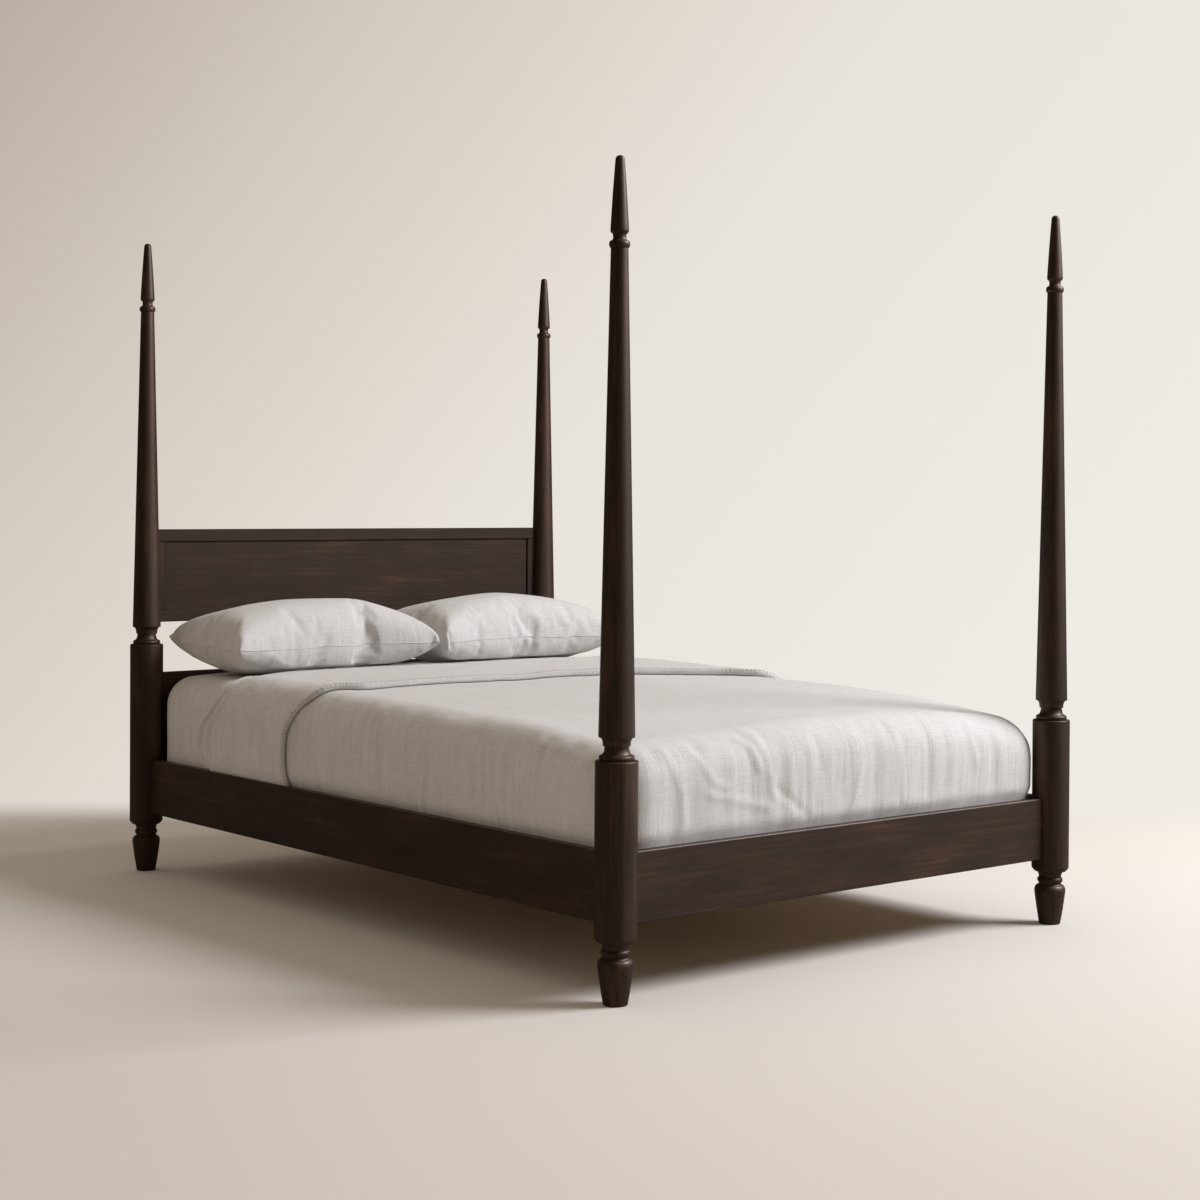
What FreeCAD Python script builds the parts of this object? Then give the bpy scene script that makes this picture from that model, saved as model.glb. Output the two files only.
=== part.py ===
import FreeCAD, Part
import math
import os

# A four-poster bed: four posts turned from foot to finial, a framed headboard, a lower head panel, side rails
# on hook plates, a slatted deck on a centre beam, and a mattress made up with sheet, coverlet and pillows.
# Millimetres. Origin on the floor under the middle of the bed, +X to the right as seen from the foot,
# +Y towards the head, +Z up.

Vector = FreeCAD.Vector
AXIS_X = Vector(1, 0, 0)
AXIS_Y = Vector(0, 1, 0)
AXIS_Z = Vector(0, 0, 1)
SIDES = {"left": -1, "right": 1}
ENDS = {"foot": -1, "head": 1}

# mattress, which the frame is made around
MATTRESS_WIDTH = 1372.0
MATTRESS_LENGTH = 2032.0
MATTRESS_THICKNESS = 304.0
MATTRESS_GAP = 10.0             # free room to the rails on every side
MATTRESS_ROUND = 48.0           # of its corners and upper edges
MATTRESS_BOTTOM_BEVEL = 20.0

# fits
GLUE_GAP = 0.2                  # around tenons, housed ends, let-in plates and panel edges
TENON_END_GAP = 1.0             # glue room past the end of a tenon
SLIP_GAP = 0.3                  # around what slides or hooks in

# rails between the posts
RAIL_THICKNESS = 25.0
RAIL_HEIGHT = 152.0
RAIL_OUTBOARD = 10.0            # outer face of a rail outside the post axes
RAIL_EDGE = 2.0                 # bevel of the long edges
RAIL_ABOVE_BLOCK = 24.0         # underside of the rails over the underside of the post block
HOUSING_DEPTH = 10.0            # how far a rail end sits in the round post
TENON_THICKNESS = 12.0
TENON_SHOULDER = 22.0           # rail height above and below a tenon
TENON_STOP = 12.0               # end of a tenon from the post axis

# feet of the posts, drawn from the floor upwards
TOE_RADIUS = 26.5
FOOT_RADIUS = 38.5
FOOT_TAPER_HEIGHT = 83.0
FOOT_SHOULDER_HEIGHT = 17.0
FOOT_SHOULDER_BULGE = 3.5
ANKLE_RADIUS = 27.5
ANKLE_GROOVE_HEIGHT = 5.0
ANKLE_RING_HEIGHT = 14.0
ANKLE_RING_BULGE = 4.0
ANKLE_CONE_RADIUS = 39.0
ANKLE_CONE_HEIGHT = 14.0
BLOCK_BEVEL_HEIGHT = 9.0

# plain round block that takes the rails, and the collar above it
BLOCK_RADIUS = 46.0
BLOCK_EDGE = 3.0
FOOT_BLOCK_ABOVE_RAIL = 195.0
HEAD_BLOCK_ABOVE_RAIL = 324.0
COLLAR_RADIUS = 34.0
COLLAR_BEAD_HEIGHT = 10.0
COLLAR_BEAD_BULGE = 3.5
COLLAR_NECK_RADIUS = 25.5
COLLAR_NECK_HEIGHT = 20.0
COLLAR_FILLET_RADIUS = 29.5
COLLAR_FILLET_HEIGHT = 4.0
COLLAR_CHAMFER_HEIGHT = 16.0

# tapered shaft, its top bead and the finial
BED_HEIGHT = 1776.0
SHAFT_BOTTOM_RADIUS = 39.0
SHAFT_TOP_RADIUS = 18.5
TAPER_STRETCH = 400.0           # longest stretch that a taper is turned in
SHAFT_ABOVE_HEADBOARD = 20.0    # straight cut of the shaft past the headboard's housing
TOP_BEAD_HEIGHT = 16.0
TOP_BEAD_BULGE = 3.5
FINIAL_HEIGHT = 177.0
FINIAL_NECK_RADIUS = 14.0
FINIAL_NECK_HEIGHT = 17.0
FINIAL_BASE_RADIUS = 19.5
FINIAL_BASE_HEIGHT = 8.0
FINIAL_TIP_RADIUS = 9.5
FINIAL_TIP_BEVEL = 2.5

# headboard frame and panel
HEADBOARD_HEIGHT = 264.0
HEADBOARD_ABOVE_COLLAR = 11.0
HEADBOARD_THICKNESS = 20.0
HEADBOARD_OUTBOARD = 20.0       # back face outside the post axes
HEADBOARD_SEAT = 24.0           # ends of the frame, measured from the post axes
HEADBOARD_RAIL_HEIGHT = 36.0
HEADBOARD_STILE_WIDTH = 38.0
HEADBOARD_BEVEL = 2.5           # around the panel, front and back
HEADBOARD_TENON_THICKNESS = 10.0
HEADBOARD_TENON_SHOULDER = 9.0
HEADBOARD_TENON_LENGTH = 12.0
PANEL_THICKNESS = 9.0
PANEL_GROOVE_DEPTH = 8.0
PANEL_FLOAT = 1.5               # room for the panel to swell in its grooves
HEAD_PANEL_ABOVE_MATTRESS = 4.0

# hook plates on the ends of the side rails and the slotted plates that they drop into
HOOK_PLATE_WIDTH = 16.0
HOOK_PLATE_HEIGHT = 116.0
HOOK_PLATE_THICKNESS = 3.0
HOOKS_PER_PLATE = 2
HOOK_THICKNESS = 3.0
HOOK_HEIGHT = 24.0
HOOK_DROP = 9.0                 # how far a hook hangs down behind its slot
HOOK_REACH = 10.0               # behind the slotted plate
HOOK_SPACING = 52.0
HOOK_LOWEST = 14.0              # lower hook above the underside of its plate
SLOT_HEADROOM = 2.0             # over a hook that is lifted out
HOOK_CAVITY_GAP = 2.0           # free room for the hooks inside the post

# deck
DECK_DROP = 66.0                # slat tops below the rail tops
LEDGER_SIZE = 25.0
LEDGER_POST_GAP = 2.0
SLAT_COUNT = 14
SLAT_WIDTH = 70.0
SLAT_THICKNESS = 18.0
SLAT_EDGE = 2.0
SLAT_END_GAP = 4.0
SLAT_LEDGER_MARGIN = 2.0        # first slat from the end of the ledger
BEAM_THICKNESS = 32.0
BEAM_LIFT = 8.0                 # underside of the beam above the underside of the rails
BEAM_GAP = 0.5                  # in its hangers
HANGER_SHEET = 3.0
HANGER_LENGTH = 40.0
HANGER_HEIGHT = 42.0
HANGER_WING = 22.0
LEG_SIZE = 45.0
LEG_EDGE = 3.0
LEG_CLEARANCE = 24.0            # underside of the centre leg above the floor
LEG_TENON_SIZE = 20.0
LEG_TENON_LENGTH = 28.0
LEVELLER_PAD_ACROSS_FLATS = 36.0
LEVELLER_PAD_THICKNESS = 8.0
LEVELLER_STUD_RADIUS = 5.0
LEVELLER_STUD_LENGTH = 42.0
LEVELLER_TRAVEL = 12.0
LEVELLER_END_GAP = 3.0

# bedding
LAYER_GAP = 0.6
SHEET_THICKNESS = 1.2
SHEET_HEM = 22.0                # edge of the fitted sheet above the deck
COVERLET_THICKNESS = 3.2
COVERLET_HEM = 26.0             # tucked edge of the coverlet above the deck
FOLD_LENGTH = 410.0             # how far the coverlet is turned back on itself
FOLD_FROM_HEAD = 306.0          # its fold from the head end of the mattress
PILLOW_SIDE_GAPS = {"left": 32.0, "right": -8.0}    # tip of a pillow inside the side of the mattress
PILLOW_MIDDLE_GAP = 4.0         # from pillow to pillow
PILLOW_DEPTH = 404.0
PILLOW_FROM_HEAD = 204.0        # its middle from the head end of the mattress
PILLOW_CROWN = 130.0            # above the seam
PILLOW_BELLY = 82.0             # below the seam
PILLOW_LENGTHWISE_SHARE = 1.08  # of crown and belly, in the arch along the pillow, for a ridge on top
PILLOW_DIAGONAL_SHARE = 1.2     # of crown and belly, in the arches from corner to corner
PILLOW_CORNER_SHARE = 0.94      # of the corner's distance that the filling reaches to
PILLOW_REST_GAP = 0.3

# heights that follow from the sizes above
block_bottom = (FOOT_TAPER_HEIGHT + FOOT_SHOULDER_HEIGHT + ANKLE_GROOVE_HEIGHT + ANKLE_RING_HEIGHT
                + ANKLE_CONE_HEIGHT + BLOCK_BEVEL_HEIGHT)
rail_bottom = block_bottom + RAIL_ABOVE_BLOCK
rail_top = rail_bottom + RAIL_HEIGHT
deck_top = rail_top - DECK_DROP
ledger_top = deck_top - SLAT_THICKNESS
mattress_top = deck_top + MATTRESS_THICKNESS
head_panel_top = mattress_top + HEAD_PANEL_ABOVE_MATTRESS
block_tops = {"foot": rail_top + FOOT_BLOCK_ABOVE_RAIL, "head": rail_top + HEAD_BLOCK_ABOVE_RAIL}
collar_height = COLLAR_BEAD_HEIGHT + COLLAR_NECK_HEIGHT + COLLAR_FILLET_HEIGHT + COLLAR_CHAMFER_HEIGHT
headboard_bottom = block_tops["head"] + collar_height + HEADBOARD_ABOVE_COLLAR
headboard_top = headboard_bottom + HEADBOARD_HEIGHT
shaft_top = BED_HEIGHT - FINIAL_HEIGHT - TOP_BEAD_HEIGHT
beam_bottom = rail_bottom + BEAM_LIFT

# distances in plan from the middle of the bed
rail_inboard = RAIL_THICKNESS - RAIL_OUTBOARD
rail_middle = RAIL_OUTBOARD - RAIL_THICKNESS / 2
inside_x = MATTRESS_WIDTH / 2 + MATTRESS_GAP
inside_y = MATTRESS_LENGTH / 2 + MATTRESS_GAP
post_x = inside_x + rail_inboard
post_y = inside_y + rail_inboard
rail_seat = BLOCK_RADIUS - HOUSING_DEPTH
side_rail_half = post_y - rail_seat
end_rail_half = post_x - rail_seat
headboard_half = post_x - HEADBOARD_SEAT
headboard_middle = post_y + HEADBOARD_OUTBOARD - HEADBOARD_THICKNESS / 2

nodes = {}


def span(middle, size):
    """Low and high end of a length laid around its middle."""
    return (middle - size / 2, middle + size / 2)


def grown(ends, gap):
    """A span made longer by a gap at both ends."""
    return (ends[0] - gap, ends[1] + gap)


def mirrored(side, near, far):
    """Span between two distances from the middle of the bed, on one side of it."""
    return tuple(sorted((side * near, side * far)))


def block(x_span, y_span, z_span):
    """Plain block between three spans."""
    sizes = [ends[1] - ends[0] for ends in (x_span, y_span, z_span)]
    return Part.makeBox(*sizes, Vector(x_span[0], y_span[0], z_span[0]))


def rod(radius, start, end):
    """Round rod between two points."""
    along = end - start
    return Part.makeCylinder(radius, along.Length, start, along)


def hexagon(across_flats, thickness):
    """Upright hexagonal prism standing on the origin."""
    corner = across_flats / 2 / math.cos(math.pi / 6)
    angles = [step * math.pi / 3 for step in range(6)]
    corners = [Vector(corner * math.cos(angle), corner * math.sin(angle), 0) for angle in angles]
    return Part.Face(Part.makePolygon(corners + corners[:1])).extrude(AXIS_Z * thickness)


def long_edges(shape, axis, wanted=None):
    """Straight edges parallel to an axis, all of them or those whose middle is wanted."""
    found = []
    for edge in shape.Edges:
        along = edge.Vertexes[-1].Point - edge.Vertexes[0].Point
        if along.cross(axis).Length < along.Length / 1000:
            if wanted is None or wanted(edge.CenterOfMass):
                found.append(edge)
    return found


class Turning:
    """Half outline of a turned piece, drawn upwards from its axis."""

    def __init__(self, height):
        self.start = Vector(0, 0, height)
        self.point = self.start
        self.edges = []

    def line(self, radius, rise):
        """Straight cut to a radius, so much higher up."""
        end = Vector(radius, 0, self.point.z + rise)
        self.edges.append(Part.LineSegment(self.point, end).toShape())
        self.point = end

    def taper(self, radius, rise):
        """Long even taper to a radius, so much higher up, in equal stretches."""
        stretches = max(2, math.ceil(rise / TAPER_STRETCH))
        start = self.point
        end = Vector(radius, 0, start.z + rise)
        for stretch in range(stretches):
            reached = start + (end - start) * ((stretch + 1) / stretches)
            curve = Part.BezierCurve()
            curve.setPoles([self.point, reached])
            self.edges.append(curve.toShape())
            self.point = reached

    def bead(self, radius, rise, bulge, cuts):
        """Rounded stretch to a radius in a few cuts, standing out by its bulge."""
        start = self.point
        chord = Vector(radius, 0, start.z + rise) - start
        outwards = Vector(chord.z, 0, -chord.x).normalize()
        for cut in range(cuts):
            share = (cut + 1) / cuts
            reached = start + chord * share + outwards * (bulge * 4 * share * (1 - share))
            self.line(reached.x, reached.z - self.point.z)

    def solid(self):
        """The turned piece."""
        self.line(0, 0)
        self.edges.append(Part.LineSegment(self.point, self.start).toShape())
        face = Part.Face(Part.Wire(self.edges))
        return face.revolve(Vector(0, 0, 0), AXIS_Z, 360)


def turned_post(block_top, housed_top):
    """A post from its toe to its finial. Its block and the part that takes a headboard end where given."""
    shaft_bottom = block_top + collar_height
    housed_share = (housed_top - shaft_bottom) / (shaft_top - shaft_bottom)
    housed_radius = SHAFT_BOTTOM_RADIUS + (SHAFT_TOP_RADIUS - SHAFT_BOTTOM_RADIUS) * housed_share
    finial_taper = FINIAL_HEIGHT - FINIAL_NECK_HEIGHT - FINIAL_BASE_HEIGHT - FINIAL_TIP_BEVEL
    post = Turning(0)
    post.line(TOE_RADIUS, 0)
    post.taper(FOOT_RADIUS, FOOT_TAPER_HEIGHT)
    post.bead(ANKLE_RADIUS, FOOT_SHOULDER_HEIGHT, FOOT_SHOULDER_BULGE, 2)
    post.line(ANKLE_RADIUS, ANKLE_GROOVE_HEIGHT)
    post.bead(ANKLE_RADIUS, ANKLE_RING_HEIGHT, ANKLE_RING_BULGE, 3)
    post.line(ANKLE_CONE_RADIUS, ANKLE_CONE_HEIGHT)
    post.line(BLOCK_RADIUS, BLOCK_BEVEL_HEIGHT)
    post.line(BLOCK_RADIUS, block_top - BLOCK_EDGE - block_bottom)
    post.line(BLOCK_RADIUS - BLOCK_EDGE, BLOCK_EDGE)
    post.line(COLLAR_RADIUS, 0)
    post.bead(COLLAR_RADIUS, COLLAR_BEAD_HEIGHT, COLLAR_BEAD_BULGE, 2)
    post.line(COLLAR_NECK_RADIUS, COLLAR_NECK_HEIGHT)
    post.line(COLLAR_FILLET_RADIUS, 0)
    post.line(COLLAR_FILLET_RADIUS, COLLAR_FILLET_HEIGHT)
    post.line(SHAFT_BOTTOM_RADIUS, COLLAR_CHAMFER_HEIGHT)
    if housed_share > 0:
        post.line(housed_radius, housed_top - shaft_bottom)
    post.taper(SHAFT_TOP_RADIUS, shaft_top - post.point.z)
    post.bead(SHAFT_TOP_RADIUS, TOP_BEAD_HEIGHT, TOP_BEAD_BULGE, 3)
    post.line(FINIAL_NECK_RADIUS, 0)
    post.line(FINIAL_NECK_RADIUS, FINIAL_NECK_HEIGHT)
    post.line(FINIAL_BASE_RADIUS, FINIAL_BASE_HEIGHT)
    post.taper(FINIAL_TIP_RADIUS, finial_taper)
    post.line(FINIAL_TIP_RADIUS - FINIAL_TIP_BEVEL, FINIAL_TIP_BEVEL)
    return post.solid()


# rails: the side rails hang between the posts on hooks, the end rails have tenons
side_x_spans = {name: mirrored(side, inside_x, post_x + RAIL_OUTBOARD) for name, side in SIDES.items()}
end_y_spans = {name: mirrored(end, inside_y, post_y + RAIL_OUTBOARD) for name, end in ENDS.items()}
end_z_spans = {"foot": (rail_bottom, rail_top), "head": (rail_bottom, head_panel_top)}
side_y_span = (-side_rail_half, side_rail_half)
end_x_span = (-end_rail_half, end_rail_half)
tenon_x_span = (TENON_STOP - post_x, post_x - TENON_STOP)
side_z_span = (rail_bottom, rail_top)
cuts_in_posts = []

plate_z_span = span(sum(side_z_span) / 2, HOOK_PLATE_HEIGHT)
hook_plates = []
slotted_plates = []
for side_name, side in SIDES.items():
    rail_x = side * (post_x + rail_middle)
    plate_x_span = span(rail_x, HOOK_PLATE_WIDTH)
    hook_x_span = span(rail_x, HOOK_THICKNESS)
    rail = block(side_x_spans[side_name], side_y_span, side_z_span)
    rail = rail.makeChamfer(RAIL_EDGE, long_edges(rail, AXIS_Y))
    cuts_in_posts.append(block(grown(side_x_spans[side_name], GLUE_GAP), side_y_span,
                               grown(side_z_span, GLUE_GAP)))
    for end in ENDS.values():
        slotted_back = side_rail_half + HOOK_PLATE_THICKNESS
        hook_front = slotted_back + SLIP_GAP
        hook_back = hook_front + HOOK_REACH
        hook_plate_y_span = mirrored(end, side_rail_half - HOOK_PLATE_THICKNESS, side_rail_half)
        slotted_y_span = mirrored(end, side_rail_half, slotted_back)
        hook_plate = block(plate_x_span, hook_plate_y_span, plate_z_span)
        slotted_plate = block(plate_x_span, slotted_y_span, plate_z_span)
        for number in range(HOOKS_PER_PLATE):
            hook_bottom = plate_z_span[0] + HOOK_LOWEST + number * HOOK_SPACING
            hook_z_span = (hook_bottom, hook_bottom + HOOK_HEIGHT)
            neck_z_span = (hook_bottom + HOOK_DROP, hook_z_span[1])
            slot_z_span = (neck_z_span[0], neck_z_span[0] + HOOK_HEIGHT + SLOT_HEADROOM)
            neck = block(hook_x_span, mirrored(end, side_rail_half, hook_front), neck_z_span)
            tongue = block(hook_x_span, mirrored(end, hook_front, hook_back), hook_z_span)
            hook_plate = hook_plate.fuse([neck, tongue])
            slot = block(grown(hook_x_span, SLIP_GAP), slotted_y_span, slot_z_span)
            slotted_plate = slotted_plate.cut(slot)
            cavity_x_span = grown(hook_x_span, HOOK_CAVITY_GAP)
            cavity_y_span = mirrored(end, side_rail_half, hook_back + HOOK_CAVITY_GAP)
            cavity_z_span = grown((hook_bottom, slot_z_span[1]), HOOK_CAVITY_GAP)
            cuts_in_posts.append(block(cavity_x_span, cavity_y_span, cavity_z_span))
        hook_plates.append(hook_plate.removeSplitter())
        slotted_plates.append(slotted_plate)
        let_in_x_span = grown(plate_x_span, GLUE_GAP)
        let_in_z_span = grown(plate_z_span, GLUE_GAP)
        rail = rail.cut(block(let_in_x_span, hook_plate_y_span, let_in_z_span))
        cuts_in_posts.append(block(let_in_x_span, slotted_y_span, let_in_z_span))
    nodes["side_rail_" + side_name] = rail
nodes["rail_hook_plates"] = Part.makeCompound(hook_plates)
nodes["post_slotted_plates"] = Part.makeCompound(slotted_plates)

for end_name, node in (("foot", "foot_rail"), ("head", "head_panel")):
    z_span = end_z_spans[end_name]
    tenon_y_span = span(sum(end_y_spans[end_name]) / 2, TENON_THICKNESS)
    tenon_z_span = grown(z_span, -TENON_SHOULDER)
    board = block(end_x_span, end_y_spans[end_name], z_span)
    board = board.makeChamfer(RAIL_EDGE, long_edges(board, AXIS_X))
    nodes[node] = board.fuse(block(tenon_x_span, tenon_y_span, tenon_z_span)).removeSplitter()
    cuts_in_posts.append(block(end_x_span, grown(end_y_spans[end_name], GLUE_GAP), grown(z_span, GLUE_GAP)))
    cuts_in_posts.append(block(grown(tenon_x_span, TENON_END_GAP), grown(tenon_y_span, GLUE_GAP),
                               grown(tenon_z_span, GLUE_GAP)))

# headboard: two rails from post to post, two stiles between them, and a panel loose in the grooves
headboard_y_span = span(headboard_middle, HEADBOARD_THICKNESS)
headboard_x_span = (-headboard_half, headboard_half)
opening_x = headboard_half - HEADBOARD_STILE_WIDTH
opening_z_span = (headboard_bottom + HEADBOARD_RAIL_HEIGHT, headboard_top - HEADBOARD_RAIL_HEIGHT)
panel_y_span = span(headboard_middle, PANEL_THICKNESS)
groove = block(headboard_x_span, grown(panel_y_span, GLUE_GAP), grown(opening_z_span, PANEL_GROOVE_DEPTH))
panel_reach = PANEL_GROOVE_DEPTH - PANEL_FLOAT
nodes["headboard_panel"] = block(grown((-opening_x, opening_x), panel_reach), panel_y_span,
                                 grown(opening_z_span, panel_reach))

headboard_rails = {"headboard_bottom_rail": (headboard_bottom, opening_z_span[0]),
                   "headboard_top_rail": (opening_z_span[1], headboard_top)}
for node, z_span in headboard_rails.items():
    inner_edge = [height for height in z_span if height in opening_z_span][0]
    rail = block(headboard_x_span, headboard_y_span, z_span)
    inner = long_edges(rail, AXIS_X, lambda middle: abs(middle.z - inner_edge) < GLUE_GAP)
    rail = rail.makeChamfer(HEADBOARD_BEVEL, inner)
    outer = long_edges(rail, AXIS_X, lambda middle: abs(middle.z - inner_edge) > HEADBOARD_RAIL_HEIGHT / 2)
    rail = rail.makeChamfer(RAIL_EDGE, outer)
    tenon_x = headboard_half + HEADBOARD_TENON_LENGTH
    tenon_y_span = span(headboard_middle, HEADBOARD_TENON_THICKNESS)
    tenon_z_span = grown(z_span, -HEADBOARD_TENON_SHOULDER)
    tenon = block((-tenon_x, tenon_x), tenon_y_span, tenon_z_span)
    nodes[node] = rail.cut(groove).fuse(tenon).removeSplitter()
    cuts_in_posts.append(block(grown((-tenon_x, tenon_x), TENON_END_GAP), grown(tenon_y_span, GLUE_GAP),
                               grown(tenon_z_span, GLUE_GAP)))
cuts_in_posts.append(block(headboard_x_span, grown(headboard_y_span, GLUE_GAP),
                           grown((headboard_bottom, headboard_top), GLUE_GAP)))

for side_name, side in SIDES.items():
    stile = block(mirrored(side, opening_x, headboard_half), headboard_y_span, opening_z_span)
    inner = long_edges(stile, AXIS_Z, lambda middle: abs(middle.x) < opening_x + GLUE_GAP)
    stile = stile.makeChamfer(HEADBOARD_BEVEL, inner)
    stile = stile.cut(block(mirrored(side, 0, opening_x + PANEL_GROOVE_DEPTH), grown(panel_y_span, GLUE_GAP),
                            opening_z_span))
    tongue_x_span = mirrored(side, opening_x + PANEL_GROOVE_DEPTH, headboard_half)
    tongue = block(tongue_x_span, panel_y_span, grown(opening_z_span, panel_reach))
    nodes["headboard_stile_" + side_name] = stile.fuse(tongue).removeSplitter()

# posts with their housings, mortises and plate seats
housed_tops = {"foot": 0, "head": headboard_top + SHAFT_ABOVE_HEADBOARD}
for end_name, end in ENDS.items():
    for side_name, side in SIDES.items():
        post = turned_post(block_tops[end_name], housed_tops[end_name])
        post.translate(Vector(side * post_x, end * post_y, 0))
        nodes["post_" + end_name + "_" + side_name] = post.cut(cuts_in_posts)

# deck: ledgers on the side rails, slats across them, a beam along the middle on a leg with a leveller
ledger_half = post_y - BLOCK_RADIUS - LEDGER_POST_GAP
for side_name, side in SIDES.items():
    nodes["ledger_" + side_name] = block(mirrored(side, inside_x - LEDGER_SIZE, inside_x),
                                         (-ledger_half, ledger_half), (ledger_top - LEDGER_SIZE, ledger_top))

slat_half = inside_x - SLAT_END_GAP
first_slat = ledger_half - SLAT_LEDGER_MARGIN - SLAT_WIDTH / 2
slat_pitch = 2 * first_slat / (SLAT_COUNT - 1)
for number in range(SLAT_COUNT):
    slat = block((-slat_half, slat_half), span(number * slat_pitch - first_slat, SLAT_WIDTH),
                 (ledger_top, deck_top))
    slat = slat.makeChamfer(SLAT_EDGE, long_edges(slat, AXIS_X))
    nodes["slat_" + str(number + 1).zfill(2)] = slat

beam_half = inside_y - HANGER_SHEET - BEAM_GAP
beam = block(span(0, BEAM_THICKNESS), (-beam_half, beam_half), (beam_bottom, ledger_top))
hanger_inside = BEAM_THICKNESS + 2 * BEAM_GAP
hanger_outside = hanger_inside + 2 * HANGER_SHEET
hanger_z_span = (beam_bottom - HANGER_SHEET, beam_bottom + HANGER_HEIGHT)
for end_name, end in ENDS.items():
    back_y_span = mirrored(end, inside_y - HANGER_SHEET, inside_y)
    trough_y_span = mirrored(end, inside_y - HANGER_LENGTH, inside_y)
    room_y_span = mirrored(end, inside_y - HANGER_LENGTH, inside_y - HANGER_SHEET)
    back = block(span(0, hanger_outside + 2 * HANGER_WING), back_y_span, hanger_z_span)
    trough = block(span(0, hanger_outside), trough_y_span, hanger_z_span)
    room = block(span(0, hanger_inside), room_y_span, (beam_bottom, hanger_z_span[1]))
    nodes["beam_hanger_" + end_name] = trough.cut(room).fuse(back).removeSplitter()

stud_top = LEVELLER_PAD_THICKNESS + LEVELLER_STUD_LENGTH
bore_top = stud_top + LEVELLER_TRAVEL + LEVELLER_END_GAP
leg_span = span(0, LEG_SIZE)
tenon_span = span(0, LEG_TENON_SIZE)
mortise_span = grown(tenon_span, GLUE_GAP)
leg = block(leg_span, leg_span, (LEG_CLEARANCE, beam_bottom))
leg = leg.makeChamfer(LEG_EDGE, long_edges(leg, AXIS_Z))
leg = leg.fuse(block(tenon_span, tenon_span, (beam_bottom, beam_bottom + LEG_TENON_LENGTH))).removeSplitter()
bore = rod(LEVELLER_STUD_RADIUS + SLIP_GAP, AXIS_Z * LEG_CLEARANCE, AXIS_Z * bore_top)
mortise = block(mortise_span, mortise_span, (beam_bottom, beam_bottom + LEG_TENON_LENGTH + TENON_END_GAP))
nodes["centre_leg"] = leg.cut(bore)
nodes["centre_beam"] = beam.cut(mortise)
pad = hexagon(LEVELLER_PAD_ACROSS_FLATS, LEVELLER_PAD_THICKNESS)
stud = rod(LEVELLER_STUD_RADIUS, AXIS_Z * LEVELLER_PAD_THICKNESS, AXIS_Z * stud_top)
nodes["leveller"] = pad.fuse(stud).removeSplitter()


def arch(start, end, rise):
    """Arc between two points of one upright outline, standing up in its middle by its rise."""
    return Part.Arc(start, (start + end) / 2 + AXIS_Z * rise, end).toShape()


def swept(edges, half_length, angle):
    """Closed outline over the X axis, drawn out to both sides and turned about Z."""
    face = Part.Face(Part.Wire(edges))
    face.translate(AXIS_Y * -half_length)
    form = face.extrude(AXIS_Y * (2 * half_length))
    form.rotate(Vector(0, 0, 0), AXIS_Z, angle)
    return form


def crossed(forms):
    """What several swept outlines have in common."""
    form = forms[0]
    for other in forms[1:]:
        form = form.common(other)
    return form


def soft_block(skin):
    """The mattress, or the mattress with so much cloth all round it."""
    half_x = MATTRESS_WIDTH / 2 + skin
    half_y = MATTRESS_LENGTH / 2 + skin
    form = block((-half_x, half_x), (-half_y, half_y), (deck_top - skin, mattress_top + skin))
    top = max(form.Faces, key=lambda face: face.CenterOfMass.z)
    form = form.makeFillet(MATTRESS_ROUND + skin, long_edges(form, AXIS_Z) + top.Edges)
    bottom = min(form.Faces, key=lambda face: face.CenterOfMass.z)
    return form.makeChamfer(MATTRESS_BOTTOM_BEVEL, bottom.Edges)


# bedding: the fitted sheet all round the mattress, the coverlet tucked in over it and turned back at the head
sheet_inner = LAYER_GAP
sheet_outer = sheet_inner + SHEET_THICKNESS
cover_inner = sheet_outer + LAYER_GAP
cover_outer = cover_inner + COVERLET_THICKNESS
fold_outer = cover_outer + COVERLET_THICKNESS
room_x = (-inside_x, inside_x)
fold_y = MATTRESS_LENGTH / 2 - FOLD_FROM_HEAD
hem_y = fold_y - FOLD_LENGTH
nodes["mattress"] = soft_block(0)
sheet_room = block(room_x, (-inside_y, inside_y), (deck_top + SHEET_HEM, BED_HEIGHT))
nodes["fitted_sheet"] = soft_block(sheet_outer).cut(soft_block(sheet_inner)).common(sheet_room)
cover_room = block(room_x, (-inside_y, fold_y), (deck_top + COVERLET_HEM, BED_HEIGHT))
fold_room = block(room_x, (hem_y, fold_y), (deck_top + COVERLET_HEM, BED_HEIGHT))
under_cover = soft_block(cover_inner)
cover = soft_block(cover_outer).cut(under_cover).common(cover_room)
turned_back = soft_block(fold_outer).cut(under_cover).common(fold_room)
nodes["coverlet"] = cover.fuse(turned_back).removeSplitter()


def pillow(middle):
    """A plump pillow with a knife edge all round: lens shapes swept along, across and towards its corners."""
    half_x = pillow_width / 2
    half_y = PILLOW_DEPTH / 2
    corner_distance = math.hypot(half_x, half_y)
    corner_reach = PILLOW_CORNER_SHARE * corner_distance
    corner_angle = math.degrees(math.atan2(half_y, half_x))
    arches = [(0, half_x, PILLOW_LENGTHWISE_SHARE), (90, half_y, 1)]
    arches += [(side * corner_angle, corner_reach, PILLOW_DIAGONAL_SHARE) for side in SIDES.values()]
    lenses = []
    for angle, reach, fullness in arches:
        left = Vector(-reach, 0, 0)
        right = Vector(reach, 0, 0)
        outline = [arch(left, right, fullness * PILLOW_CROWN), arch(right, left, -fullness * PILLOW_BELLY)]
        lenses.append(swept(outline, 2 * corner_distance, angle))
    form = crossed(lenses)
    form.translate(middle)
    return form


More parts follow.
